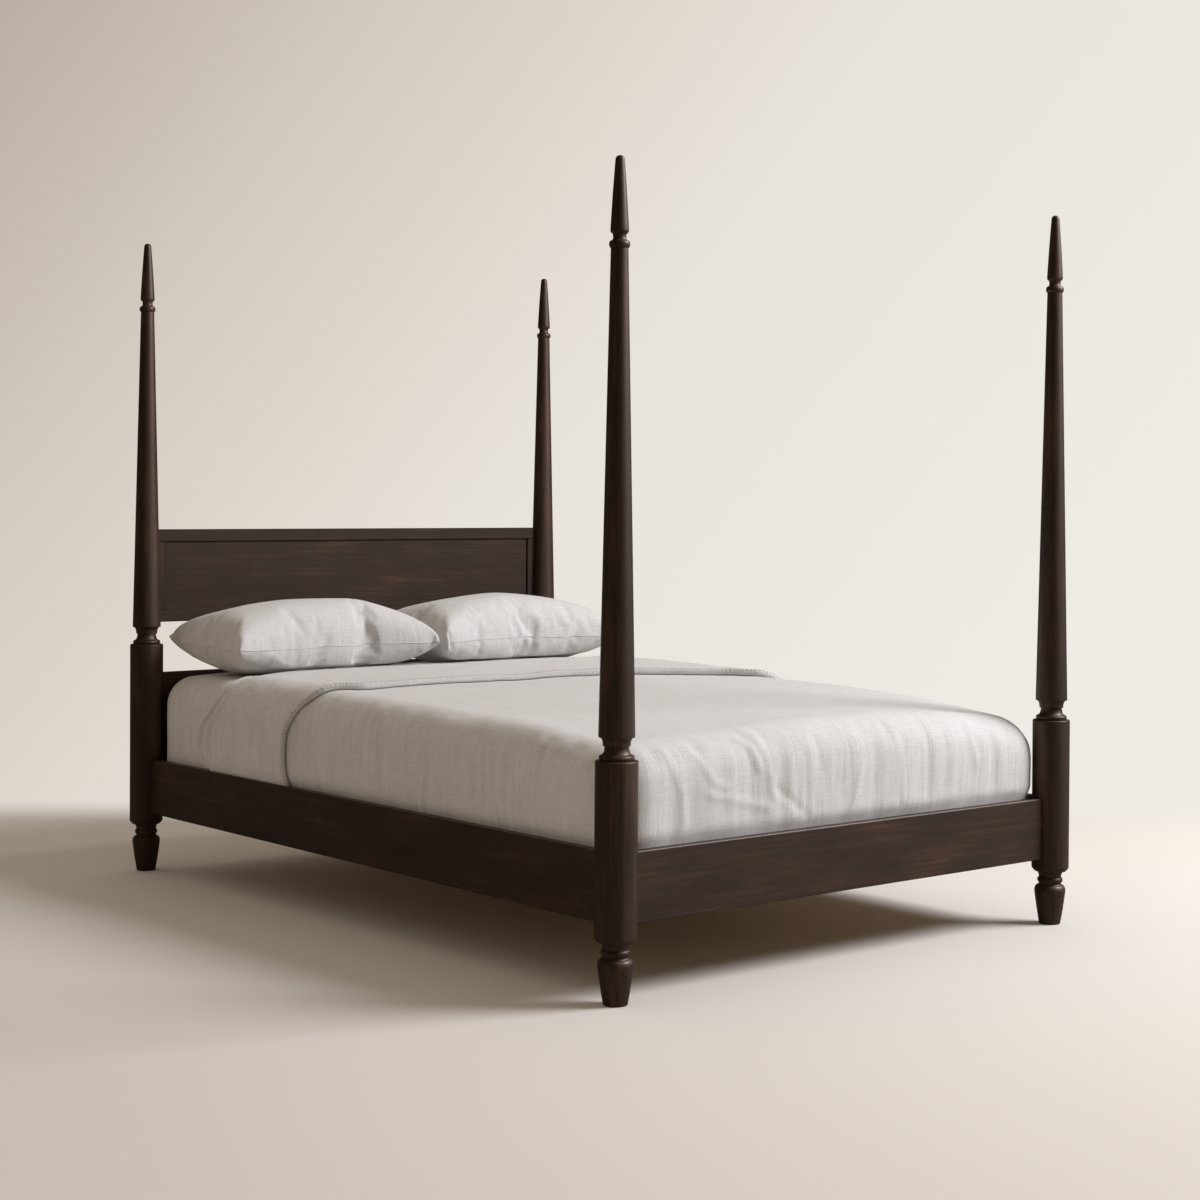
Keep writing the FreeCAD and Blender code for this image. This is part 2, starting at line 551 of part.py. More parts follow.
pillow_width = (MATTRESS_WIDTH - sum(PILLOW_SIDE_GAPS.values()) - PILLOW_MIDDLE_GAP) / 2
pillow_y = MATTRESS_LENGTH / 2 - PILLOW_FROM_HEAD
pillow_seam = mattress_top + sheet_outer + PILLOW_REST_GAP + PILLOW_BELLY
for side_name, side in SIDES.items():
    pillow_x = side * (MATTRESS_WIDTH / 2 - PILLOW_SIDE_GAPS[side_name] - pillow_width / 2)
    nodes["pillow_" + side_name] = pillow(Vector(pillow_x, pillow_y, pillow_seam))

os.makedirs("parts", exist_ok=True)
for node, shape in nodes.items():
    shape.exportStep("parts/" + node + ".step")
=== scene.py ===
import math

import bmesh
import bpy
import numpy as np
from mathutils import Matrix, Vector


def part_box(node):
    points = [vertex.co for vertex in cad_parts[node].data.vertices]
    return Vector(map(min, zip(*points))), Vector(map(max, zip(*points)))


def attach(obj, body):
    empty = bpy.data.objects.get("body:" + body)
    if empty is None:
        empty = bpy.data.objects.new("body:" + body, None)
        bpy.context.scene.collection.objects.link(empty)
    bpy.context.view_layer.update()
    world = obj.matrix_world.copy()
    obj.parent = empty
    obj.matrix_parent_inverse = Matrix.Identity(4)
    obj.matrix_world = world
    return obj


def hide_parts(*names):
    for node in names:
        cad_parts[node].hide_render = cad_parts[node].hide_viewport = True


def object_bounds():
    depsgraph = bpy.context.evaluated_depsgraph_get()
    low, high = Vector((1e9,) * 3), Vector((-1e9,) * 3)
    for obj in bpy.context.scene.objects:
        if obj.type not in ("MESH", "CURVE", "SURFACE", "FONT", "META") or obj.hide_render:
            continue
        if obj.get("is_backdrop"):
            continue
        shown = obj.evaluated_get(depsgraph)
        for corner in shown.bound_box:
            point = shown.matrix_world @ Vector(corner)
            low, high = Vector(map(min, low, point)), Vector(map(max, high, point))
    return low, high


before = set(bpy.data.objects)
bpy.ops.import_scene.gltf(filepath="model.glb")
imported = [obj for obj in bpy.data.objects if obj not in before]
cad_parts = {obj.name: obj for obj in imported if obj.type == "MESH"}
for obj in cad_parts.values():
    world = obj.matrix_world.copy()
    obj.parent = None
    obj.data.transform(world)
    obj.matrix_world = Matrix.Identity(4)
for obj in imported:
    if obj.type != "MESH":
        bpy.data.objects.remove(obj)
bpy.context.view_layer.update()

MM = 0.001
X, Y, Z = range(3)
HALF_TURN = math.pi
scene = bpy.context.scene
scene.view_settings.view_transform = "Standard"


def colour(code):
    """An sRGB hex value as a linear colour."""
    parts = [int(code[i:i + 2], 16) / 255 for i in (1, 3, 5)]
    return [c / 12.92 if c <= 0.04045 else ((c + 0.055) / 1.055) ** 2.4 for c in parts] + [1.0]


def feed(tree, node, feeds):
    """Gives each named input of a node a value, a socket's output or another node's first output."""
    for name, value in feeds.items():
        if isinstance(value, bpy.types.Node):
            value = value.outputs[0]
        if isinstance(value, bpy.types.NodeSocket):
            tree.links.new(value, node.inputs[name])
        else:
            node.inputs[name].default_value = value


def add(tree, kind, feeds=None, stops=(), **settings):
    """One node with its settings, what feeds its inputs, and a ramp's stops."""
    node = tree.nodes.new(kind)
    for name, value in settings.items():
        setattr(node, name, value)
    feed(tree, node, feeds or {})
    if stops:
        elements = node.color_ramp.elements
        while len(elements) < len(stops):
            elements.new(1.0)
        for element, (place, code) in zip(elements, stops):
            element.position = place
            element.color = colour(code)
    return node


def begun(name, **constants):
    """A new material, its tree and its shader, with the constants set on the shader's own sockets."""
    made = bpy.data.materials.new(name)
    made.use_nodes = True
    shader = made.node_tree.nodes["Principled BSDF"]
    for socket, value in constants.items():
        shader.inputs[socket.replace("_", " ")].default_value = value
    return made, made.node_tree, shader


def per_unit(sizes_mm):
    """The scale at which the given sizes, in millimetres along X, Y and Z, are one unit each."""
    return [1 / (size * MM) for size in sizes_mm]


def long_grain(across, length, along):
    """Sizes of a streak that runs along one axis."""
    sizes = [across] * 3
    sizes[along] = length
    return sizes


# A Mix node's sockets share their names, so they go by number: the factor, two values, two colours, and the
# output with the mixed colour.
FACTOR, FIRST_VALUE, SECOND_VALUE, FIRST_COLOUR, SECOND_COLOUR = 0, 2, 3, 6, 7
MIXED_COLOUR = 2

# The distance between two bands of a wave texture at scale 1.
WAVE_SPACING = 2 * math.pi / 20


def stained_wood(name, along, shades, sheen):
    # Stained hardwood, planed, sanded and lacquered to a satin finish: nearly black brown with long streaks,
    # some of them warmer, in soft blotches where the stain took unevenly, and fine pores that only just break
    # the soft highlights. The fibres under the lacquer make its sheen warm. A real pore is about 0.2 mm wide.
    # It is drawn at 1.6 mm, so that it shows. The headboard's wood is darker and has less sheen than the rest.
    made, tree, shader = begun(name, IOR=1.5, Specular_IOR_Level=sheen, Specular_Tint=colour("#ffddc5"),
                               Coat_Weight=0.2, Coat_Roughness=0.3)
    place = add(tree, "ShaderNodeTexCoord").outputs["Object"]
    streak_place, pore_place, blotch_place = (
        add(tree, "ShaderNodeMapping", {"Vector": place, "Scale": per_unit(long_grain(across, length, along))})
        for across, length in ((9, 300), (1.6, 36), (70, 190)))
    streaks = add(tree, "ShaderNodeTexNoise", {
        "Vector": streak_place, "Scale": 1.0, "Detail": 5.0, "Roughness": 0.6, "Distortion": 0.5})
    pores = add(tree, "ShaderNodeTexNoise", {"Vector": pore_place, "Scale": 1.0, "Detail": 2.0, "Roughness": 0.55})
    blotches = add(tree, "ShaderNodeTexNoise", {"Vector": blotch_place, "Scale": 1.0, "Detail": 2.0})
    taken = add(tree, "ShaderNodeMath", {0: blotches, 1: 0.7, 2: -0.35}, operation="MULTIPLY_ADD")
    uneven = add(tree, "ShaderNodeMath", {0: streaks, 1: taken}, operation="ADD")
    stain = add(tree, "ShaderNodeValToRGB", {"Fac": uneven}, list(zip((0.28, 0.48, 0.62, 0.8), shades)))
    pore_shade = add(tree, "ShaderNodeValToRGB", {"Fac": pores}, [(0.36, "#a39a94"), (0.52, "#ffffff")])
    wood = add(tree, "ShaderNodeMix", {FACTOR: 0.7, FIRST_COLOUR: stain, SECOND_COLOUR: pore_shade},
               data_type="RGBA", blend_type="MULTIPLY").outputs[MIXED_COLOUR]
    gloss = add(tree, "ShaderNodeMapRange", {"Value": pores, "To Min": 0.62, "To Max": 0.5})
    relief = add(tree, "ShaderNodeBump", {"Height": pores, "Strength": 0.12, "Distance": 0.3 * MM})
    feed(tree, shader, {"Base Color": wood, "Roughness": gloss, "Normal": relief})
    return made


def bare_pine(name, along):
    # Bare sawn and planed pine: pale straw wood with darker growth lines about 5 mm apart, dry and matt.
    made, tree, shader = begun(name, IOR=1.5)
    place = add(tree, "ShaderNodeTexCoord").outputs["Object"]
    bend_place, fibre_place = (
        add(tree, "ShaderNodeMapping", {"Vector": place, "Scale": per_unit(long_grain(across, length, along))})
        for across, length in ((60, 900), (1.5, 60)))
    bend = add(tree, "ShaderNodeTexNoise", {"Vector": bend_place, "Scale": 1.0, "Detail": 2.0})
    turns = add(tree, "ShaderNodeMath", {0: bend, 1: 75.0}, operation="MULTIPLY")
    lines = add(tree, "ShaderNodeMath", {0: turns}, operation="SINE")
    fibres = add(tree, "ShaderNodeTexNoise", {"Vector": fibre_place, "Scale": 1.0, "Detail": 3.0, "Roughness": 0.6})
    growth = add(tree, "ShaderNodeMath", {0: lines, 1: 0.22, 2: fibres}, operation="MULTIPLY_ADD")
    wood = add(tree, "ShaderNodeValToRGB", {"Fac": growth}, [
        (0.22, "#d9bb8c"), (0.5, "#cda873"), (0.78, "#ab7f4c")])
    gloss = add(tree, "ShaderNodeMapRange", {"Value": fibres, "To Min": 0.58, "To Max": 0.74})
    relief = add(tree, "ShaderNodeBump", {"Height": fibres, "Strength": 0.25, "Distance": 0.3 * MM})
    feed(tree, shader, {"Base Color": wood, "Roughness": gloss, "Normal": relief})
    return made


def zinc_plated_steel():
    # Zinc plated pressed steel: a cool grey metal with a cloudy, slightly blotched shine in patches of 8 mm.
    made, tree, shader = begun("zinc_plated_steel", Metallic=1.0)
    place = add(tree, "ShaderNodeTexCoord").outputs["Object"]
    patches = add(tree, "ShaderNodeMapping", {"Vector": place, "Scale": per_unit((8, 8, 8))})
    cloud = add(tree, "ShaderNodeTexNoise", {"Vector": patches, "Scale": 1.0, "Detail": 4.0, "Roughness": 0.6})
    plate = add(tree, "ShaderNodeValToRGB", {"Fac": cloud}, [(0.3, "#a4a8aa"), (0.7, "#c6c8c6")])
    gloss = add(tree, "ShaderNodeMapRange", {"Value": cloud, "To Min": 0.28, "To Max": 0.46})
    feed(tree, shader, {"Base Color": plate, "Roughness": gloss})
    return made


def moulded_nylon():
    # Black moulded nylon: dark, slightly dusty, with the fine 0.8 mm grit of a spark-eroded mould.
    made, tree, shader = begun("moulded_nylon", IOR=1.53)
    place = add(tree, "ShaderNodeTexCoord").outputs["Object"]
    grains = add(tree, "ShaderNodeMapping", {"Vector": place, "Scale": per_unit((0.8, 0.8, 0.8))})
    grit = add(tree, "ShaderNodeTexNoise", {"Vector": grains, "Scale": 1.0, "Detail": 2.0})
    black = add(tree, "ShaderNodeValToRGB", {"Fac": grit}, [(0.3, "#161617"), (0.7, "#232324")])
    gloss = add(tree, "ShaderNodeMapRange", {"Value": grit, "To Min": 0.42, "To Max": 0.58})
    relief = add(tree, "ShaderNodeBump", {"Height": grit, "Strength": 0.3, "Distance": 0.1 * MM})
    feed(tree, shader, {"Base Color": black, "Roughness": gloss, "Normal": relief})
    return made


def washed_linen(name, pale, middle, dark):
    # Washed linen in a plain weave: undyed grey beige, dry and matt, with thick slubs in both directions that
    # catch the light and a faint bloom at grazing angles. Its threads are 0.6 mm apart and are drawn at
    # 2.6 mm, with a mottle of 4.5 mm, so that they show. The pattern follows the flat cloth, whose UV map is in
    # metres. Where the cloth hangs down a side, some of it is pulled into faint upright wrinkles 17 mm apart,
    # drawn as a bump. On the long sides, the wrinkles' shade and light are also painted into the tone as upright
    # streaks.
    made, tree, shader = begun(name, IOR=1.46, Roughness=0.9, Sheen_Weight=0.12, Sheen_Roughness=0.5)
    flat = add(tree, "ShaderNodeTexCoord").outputs["UV"]
    thread_spacing = 2.6 * MM
    slubs, weave = [], []
    for sizes, direction in (((3, 60, 1), "X"), ((60, 3, 1), "Y")):
        drawn_out = add(tree, "ShaderNodeMapping", {"Vector": flat, "Scale": per_unit(sizes)})
        slubs.append(add(tree, "ShaderNodeTexNoise", {
            "Vector": drawn_out, "Scale": 1.0, "Detail": 3.0, "Roughness": 0.6}, noise_dimensions="2D"))
        weave.append(add(tree, "ShaderNodeTexWave", {
            "Vector": flat, "Scale": WAVE_SPACING / thread_spacing, "Distortion": 1.2, "Detail": 2.0,
            "Detail Scale": 0.4}, bands_direction=direction).outputs["Fac"])
    slub = add(tree, "ShaderNodeMath", {0: slubs[0], 1: slubs[1]}, operation="ADD")
    over = add(tree, "ShaderNodeMath", {0: weave[0], 1: weave[1]}, operation="MAXIMUM")
    speckles = add(tree, "ShaderNodeMapping", {"Vector": flat, "Scale": per_unit((4.5, 4.5, 1))})
    grain = add(tree, "ShaderNodeTexNoise", {"Vector": speckles, "Scale": 1.0, "Detail": 2.0}, noise_dimensions="2D")
    centred = add(tree, "ShaderNodeMath", {0: grain, 1: 0.5}, operation="SUBTRACT")
    mottled = add(tree, "ShaderNodeMath", {0: centred, 1: slub}, operation="ADD")
    shade = add(tree, "ShaderNodeMath", {0: over, 1: 0.12, 2: mottled}, operation="MULTIPLY_ADD")
    tone = add(tree, "ShaderNodeMapRange", {"Value": shade, "From Min": 0.6, "From Max": 1.6})
    undyed = add(tree, "ShaderNodeValToRGB", {"Fac": tone}, [(0.15, dark), (0.5, middle), (0.85, pale)])
    height = add(tree, "ShaderNodeMath", {0: over, 1: 0.5, 2: mottled}, operation="MULTIPLY_ADD")

    place = add(tree, "ShaderNodeTexCoord").outputs["Object"]
    normal = add(tree, "ShaderNodeNewGeometry").outputs["Normal"]
    facing = add(tree, "ShaderNodeVectorMath", {0: normal}, operation="ABSOLUTE")
    faces = add(tree, "ShaderNodeSeparateXYZ", {0: facing}).outputs
    drags = []
    for sizes in ((17, 150, 150), (150, 17, 150)):
        drawn_out = add(tree, "ShaderNodeMapping", {"Vector": place, "Scale": per_unit(sizes)})
        drags.append(add(tree, "ShaderNodeTexNoise", {
            "Vector": drawn_out, "Scale": 1.0, "Detail": 2.0, "Roughness": 0.55, "Distortion": 0.4}))
    leaning = add(tree, "ShaderNodeMath", {0: faces["X"], 1: faces["Y"]}, operation="SUBTRACT")
    sideways = add(tree, "ShaderNodeMapRange", {
        "Value": leaning, "From Min": -0.1, "From Max": 0.1}, interpolation_type="SMOOTHSTEP")
    drag = add(tree, "ShaderNodeMix", {FACTOR: sideways, FIRST_VALUE: drags[0], SECOND_VALUE: drags[1]})
    hanging = add(tree, "ShaderNodeMapRange", {
        "Value": faces["Z"], "From Min": 0.985, "From Max": 0.6}, interpolation_type="SMOOTHSTEP")
    patches = add(tree, "ShaderNodeMapping", {"Vector": place, "Scale": per_unit((160, 160, 120))})
    patchy = add(tree, "ShaderNodeTexNoise", {"Vector": patches, "Scale": 1.0, "Detail": 1.0})
    some = add(tree, "ShaderNodeMapRange", {
        "Value": patchy, "From Min": 0.38, "From Max": 0.62, "To Min": 0.2, "To Max": 1.0},
        interpolation_type="SMOOTHSTEP")
    loose = add(tree, "ShaderNodeMath", {0: hanging, 1: some}, operation="MULTIPLY")
    pulled = add(tree, "ShaderNodeMath", {0: drag, 1: loose}, operation="MULTIPLY")
    # Painted shade and light of the hanging wrinkles: on the long sides, upright streaks darken and lighten the
    # cloth's tone.
    beside = add(tree, "ShaderNodeMath", {0: sideways, 1: loose}, operation="MULTIPLY")
    streaks = add(tree, "ShaderNodeMapRange", {
        "Value": drags[1], "From Min": 0.3, "From Max": 0.7, "To Min": 0.91, "To Max": 1.06})
    painted_wrinkle_shade = add(tree, "ShaderNodeMix", {FACTOR: beside, FIRST_VALUE: 1.0, SECOND_VALUE: streaks})
    cloth = add(tree, "ShaderNodeVectorMath", {0: undyed, "Scale": painted_wrinkle_shade}, operation="SCALE")
    wrinkled = add(tree, "ShaderNodeBump", {"Height": pulled, "Strength": 0.4, "Distance": 5.0 * MM})
    relief = add(tree, "ShaderNodeBump", {
        "Height": height, "Strength": 0.4, "Distance": 0.5 * MM, "Normal": wrinkled})
    feed(tree, shader, {"Base Color": cloth, "Normal": relief})
    return made


def mattress_ticking():
    # Cotton mattress ticking: a tight off-white twill, matt, its 0.5 mm ribs drawn at 2 mm so that they show.
    made, tree, shader = begun("mattress_ticking", IOR=1.46, Roughness=0.85, Sheen_Weight=0.1)
    place = add(tree, "ShaderNodeTexCoord").outputs["Object"]
    rib_spacing = 2.0 * MM
    ribs = add(tree, "ShaderNodeTexWave", {
        "Vector": place, "Scale": WAVE_SPACING / rib_spacing, "Distortion": 0.6},
        bands_direction="DIAGONAL").outputs["Fac"]
    patches = add(tree, "ShaderNodeMapping", {"Vector": place, "Scale": per_unit((90, 90, 90))})
    soil = add(tree, "ShaderNodeTexNoise", {"Vector": patches, "Scale": 1.0, "Detail": 3.0})
    shade = add(tree, "ShaderNodeMath", {0: ribs, 1: 0.25, 2: soil}, operation="MULTIPLY_ADD")
    cloth = add(tree, "ShaderNodeValToRGB", {"Fac": shade}, [(0.3, "#c9c3b6"), (0.8, "#e2ddd2")])
    relief = add(tree, "ShaderNodeBump", {"Height": ribs, "Strength": 0.4, "Distance": 0.3 * MM})
    feed(tree, shader, {"Base Color": cloth, "Normal": relief})
    return made


AXES = ("across", "lengthwise", "upright")
STAIN = ("#1a0f0a", "#271710", "#362016", "#4b2d1e")
DARKER_SHADES = ("#100805", "#1a0e08", "#28170d", "#422817")
SATIN_SHEEN, DULL_SHEEN = 0.85, 0.5
WOOD = [stained_wood("stained_wood_" + axis, i, STAIN, SATIN_SHEEN) for i, axis in enumerate(AXES)]
DARK_WOOD = [stained_wood("darker_wood_" + axis, i, DARKER_SHADES, DULL_SHEEN) for i, axis in enumerate(AXES)]
PINE = [bare_pine("bare_pine_" + axis, i) for i, axis in enumerate(AXES)]
STEEL = zinc_plated_steel()
NYLON = moulded_nylon()
LINEN = washed_linen("washed_linen", "#d3d0cd", "#cdcac7", "#c3bfbb")
TICKING = mattress_ticking()

# Angles, in degrees, past which an edge stays sharp.
FITTING_CREASE, TURNING_CREASE, CLOTH_CREASE = 35, 32, 80


def piece_of(name, mesh, finish):
    """A mesh as an object at the origin, with one material."""
    mesh.name = name
    made = bpy.data.objects.new(name, mesh)
    scene.collection.objects.link(made)
    mesh.materials.clear()
    mesh.materials.append(finish)
    return made


def smooth(mesh, crease):
    """Smooth shading that stays sharp at edges steeper than the crease angle."""
    mesh.shade_smooth()
    mesh.set_sharp_from_angle(angle=math.radians(crease))


def frozen(made):
    """Makes the object's evaluated mesh its own, with no modifier left."""
    now = bpy.context.evaluated_depsgraph_get()
    mesh = bpy.data.meshes.new_from_object(
        made.evaluated_get(now), preserve_all_data_layers=True, depsgraph=now)
    old = made.data
    made.modifiers.clear()
    made.data = mesh
    bpy.data.meshes.remove(old)


def circle(sides):
    """The cosine and the sine of evenly spaced turns."""
    turns = [2 * HALF_TURN * i / sides for i in range(sides)]
    return [(math.cos(turn), math.sin(turn)) for turn in turns]


def bridged(built, rings):
    """Faces between each ring of corners and the next. A ring may be one point, repeated."""
    for low, high in zip(rings, rings[1:]):
        for i in range(len(low)):
            j = (i + 1) % len(low)
            built.faces.new(list(dict.fromkeys([low[i], low[j], high[j], high[i]])))


def mesh_of(built, name):
    """What was built, as a mesh."""
    made = bpy.data.meshes.new(name)
    built.to_mesh(made)
    built.free()
    return made


def laid_out():
    """A tree that puts a small shape at each point, facing and lying along the point's own directions."""
    tree = bpy.data.node_groups.new("small_pieces_laid_out", "GeometryNodeTree")
    sockets = {}
    for name, way, kind in (
            ("Places", "INPUT", "Geometry"), ("Shape", "INPUT", "Object"), ("Size", "INPUT", "Float"),
            ("Loose turn", "INPUT", "Float"), ("Seed", "INPUT", "Int"), ("Finish", "INPUT", "Material"),
            ("Pieces", "OUTPUT", "Geometry")):
        sockets[name] = tree.interface.new_socket(name, in_out=way, socket_type="NodeSocket" + kind).identifier
    given = add(tree, "NodeGroupInput").outputs
    facing, along = (
        add(tree, "GeometryNodeInputNamedAttribute", {"Name": name}, data_type="FLOAT_VECTOR").outputs["Attribute"]
        for name in ("facing", "along"))
    upright = add(tree, "FunctionNodeAlignRotationToVector", {"Vector": facing}, axis="Z")
    lying = add(tree, "FunctionNodeAlignRotationToVector", {"Rotation": upright, "Vector": along},
                axis="X", pivot_axis="Z")
    # A Random Value node's numbers go by socket number: 2 the least, 3 the greatest, and output 1 the result.
    chance = add(tree, "FunctionNodeRandomValue", {2: 0.0, 3: given["Loose turn"], "Seed": given["Seed"]},
                 data_type="FLOAT").outputs[1]
    spun = add(tree, "FunctionNodeAxisAngleToRotation", {"Axis": (0.0, 0.0, 1.0), "Angle": chance})
    turned_so = add(tree, "FunctionNodeRotateRotation", {"Rotation": lying, "Rotate By": spun},
                    rotation_space="LOCAL")
    shape = add(tree, "GeometryNodeObjectInfo", {"Object": given["Shape"]}).outputs["Geometry"]
    copies = add(tree, "GeometryNodeInstanceOnPoints", {
        "Points": given["Places"], "Instance": shape, "Rotation": turned_so, "Scale": given["Size"]})
    real = add(tree, "GeometryNodeRealizeInstances", {"Geometry": copies})
    done = add(tree, "GeometryNodeSetMaterial", {"Geometry": real, "Material": given["Finish"]})
    add(tree, "NodeGroupOutput", {"Pieces": done})
    return tree, sockets


LAYOUT, LAYOUT_SOCKETS = laid_out()


def strewn(name, shape, size, finish, places, facing, along, loose_turn, seed):
    """Copies of a small shape at the given places, as one plain mesh."""
    points = bpy.data.meshes.new(name)
    points.from_pydata([tuple(place) for place in places], [], [])
    for label, directions in (("facing", facing), ("along", along)):
        layer = points.attributes.new(label, "FLOAT_VECTOR", "POINT")
        layer.data.foreach_set("vector", np.asarray(directions, float).ravel())
    made = piece_of(name, points, finish)
    layout = made.modifiers.new("layout", "NODES")
    layout.node_group = LAYOUT
    for label, value in (("Shape", shape), ("Size", size), ("Loose turn", loose_turn), ("Seed", seed),
                         ("Finish", finish)):
        layout[LAYOUT_SOCKETS[label]] = value
    frozen(made)
    smooth(made.data, FITTING_CREASE)
    return made


def screw_head():
    """A pan head of radius 1 with a cross recess, to be copied."""
    built = bmesh.new()
    rings = [[built.verts.new((radius * x, radius * y, height)) for radius, (x, y) in zip(radii * 4, circle(16))]
             for radii, height in (([1.0] * 4, 0.0), ([0.98] * 4, 0.28), ([0.78] * 4, 0.5), ([0.52] * 4, 0.58),
                                   ([0.4, 0.38, 0.14, 0.38], 0.6), ([0.3, 0.28, 0.1, 0.28], 0.22))]
    bridged(built, rings)
    built.faces.new(rings[0][::-1])
    built.faces.new(rings[-1])
    return piece_of("screw_head", mesh_of(built, "screw_head"), STEEL)


def stitch():
    """A short thread that lies along X and dips into the cloth at both ends, of length 1, to be copied."""
    built = bmesh.new()
    rings = [[built.verts.new((x, radius * across, z + radius * up)) for across, up in circle(6)]
             for x, z, radius in ((-0.5, -0.1, 0.06), (-0.3, 0.03, 0.11), (0.0, 0.08, 0.12),
                                  (0.3, 0.03, 0.11), (0.5, -0.1, 0.06))]
    bridged(built, rings)
    built.faces.new(rings[0])
    built.faces.new(rings[-1][::-1])
    bmesh.ops.recalc_face_normals(built, faces=built.faces)
    return piece_of("stitch", mesh_of(built, "stitch"), LINEN)


SCREW, STITCH = screw_head(), stitch()


# The frame: the rails, the headboard and the deck keep their CAD shapes and get their materials.

GRAIN = {
    "foot_rail": WOOD[X], "head_panel": WOOD[X], "headboard_top_rail": DARK_WOOD[X],
    "headboard_bottom_rail": DARK_WOOD[X], "headboard_panel": DARK_WOOD[X],
    "headboard_stile_left": DARK_WOOD[Z], "headboard_stile_right": DARK_WOOD[Z],
    "side_rail_left": WOOD[Y], "side_rail_right": WOOD[Y],
    "ledger_left": PINE[Y], "ledger_right": PINE[Y], "centre_beam": PINE[Y], "centre_leg": PINE[Z],
    "beam_hanger_foot": STEEL, "beam_hanger_head": STEEL,
    "rail_hook_plates": STEEL, "post_slotted_plates": STEEL, "leveller": NYLON,
}
SLATS = ["slat_%02d" % number for number in range(1, 15)]
GRAIN.update({slat: PINE[X] for slat in SLATS})

for node, finish in GRAIN.items():
    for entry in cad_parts[node].material_slots:
        entry.material = finish

SCREW_RADIUS = 3.6 * MM
SCREW_SEED = 5
SLAT_SCREW_OFFSET = 18 * MM
LEDGER_SCREWS, LEDGER_SCREW_INSET = 8, 80 * MM
HANGER_PLATE, HANGER_SCREW_INSET = 2.5 * MM, 12 * MM


def screw_places():
    """Where the deck's screws go: each slat's two ends, the ledgers, and the hangers' wings."""
    places, facing = [], []
    for slat in SLATS:
        low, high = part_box(slat)
        for ledger in ("ledger_left", "ledger_right"):
            ledger_low, ledger_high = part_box(ledger)
            for way in (-1, 1):
                places.append(((ledger_low[X] + ledger_high[X]) / 2,
                               (low[Y] + high[Y]) / 2 + way * SLAT_SCREW_OFFSET, high[Z]))
                facing.append((0, 0, 1))
    for ledger, way in (("ledger_left", 1), ("ledger_right", -1)):
        low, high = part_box(ledger)
        for y in np.linspace(low[Y] + LEDGER_SCREW_INSET, high[Y] - LEDGER_SCREW_INSET, LEDGER_SCREWS):
            places.append((high[X] if way > 0 else low[X], y, (low[Z] + high[Z]) / 2))
            facing.append((way, 0, 0))
    beam_low, beam_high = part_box("centre_beam")
    for hanger, way in (("beam_hanger_foot", 1), ("beam_hanger_head", -1)):
        low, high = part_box(hanger)
        for x in ((low[X] + beam_low[X]) / 2, (high[X] + beam_high[X]) / 2):
            for z in (low[Z] + HANGER_SCREW_INSET, high[Z] - HANGER_SCREW_INSET):
                places.append((x, (low[Y] + HANGER_PLATE) if way > 0 else (high[Y] - HANGER_PLATE), z))
                facing.append((0, way, 0))
    return places, facing


places, facing = screw_places()
along = [(0, 1, 0) if face[Y] == 0 else (1, 0, 0) for face in facing]
screws = strewn("deck_screws", SCREW, SCREW_RADIUS, STEEL, places, facing, along, HALF_TURN, SCREW_SEED)
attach(screws, "frame")


# The posts: turned in one piece, each drawn as an outline from the floor up and spun round its axis.

class Outline:
    """A turning's outline in millimetres, from the floor up."""

    BEAD_CUTS, QUARTER_CUTS = 12, 8

    def __init__(self, radius):
        self.points = [(0.0, 0.0), (radius, 0.0)]

    def line(self, radius, rise):
        """A straight stretch to a new radius."""
        self.points.append((radius, self.points[-1][1] + rise))
        return self

    def upright_to(self, level):
        """A plain stretch of the same radius, up to a level."""
        return self.line(self.points[-1][0], level - self.points[-1][1])

    def taper(self, radius, rise, cuts, bow=0.0):
        """A long slope, slightly bowed if asked."""
        start, height = self.points[-1]
        for i in range(1, cuts + 1):
            t = i / cuts
            self.points.append((start + (radius - start) * t + bow * math.sin(HALF_TURN * t), height + rise * t))
        return self

    def taper_to(self, radius, level, cuts, bow=0.0):
        """A taper that ends at a level."""
        return self.taper(radius, level - self.points[-1][1], cuts, bow)

    def bead(self, rise, bulge):
        """A half-round ring that ends at the radius it starts from."""
        start, height = self.points[-1]
        for i in range(1, self.BEAD_CUTS + 1):
            turn = HALF_TURN * i / self.BEAD_CUTS
            self.points.append((start + bulge * math.sin(turn), height + rise * (1 - math.cos(turn)) / 2))
        return self

    def quarter(self, radius, rise, upright_first):
        """A quarter round to a new radius and height, which leaves straight up or straight in or out."""
        start, height = self.points[-1]
        for i in range(1, self.QUARTER_CUTS + 1):
            turn = HALF_TURN / 2 * i / self.QUARTER_CUTS
            up, flat = math.sin(turn), 1 - math.cos(turn)
            if not upright_first:
                up, flat = 1 - math.cos(turn), math.sin(turn)
            self.points.append((start + (radius - start) * flat, height + rise * up))
        return self


# Heights above the floor, in millimetres.
BLOCK_TOP = {"foot": 513.0, "head": 642.0}
SHAFT_TOP, FINIAL_NECK, POST_TOP = 1583.0, 1768.0, 1776.0
BLOCK_RADIUS, BLOCK_EDGE = 46.0, 3.0
SHAFT_FOOT, SHAFT_HEAD = 39.0, 18.5
POST_SIDES = 96


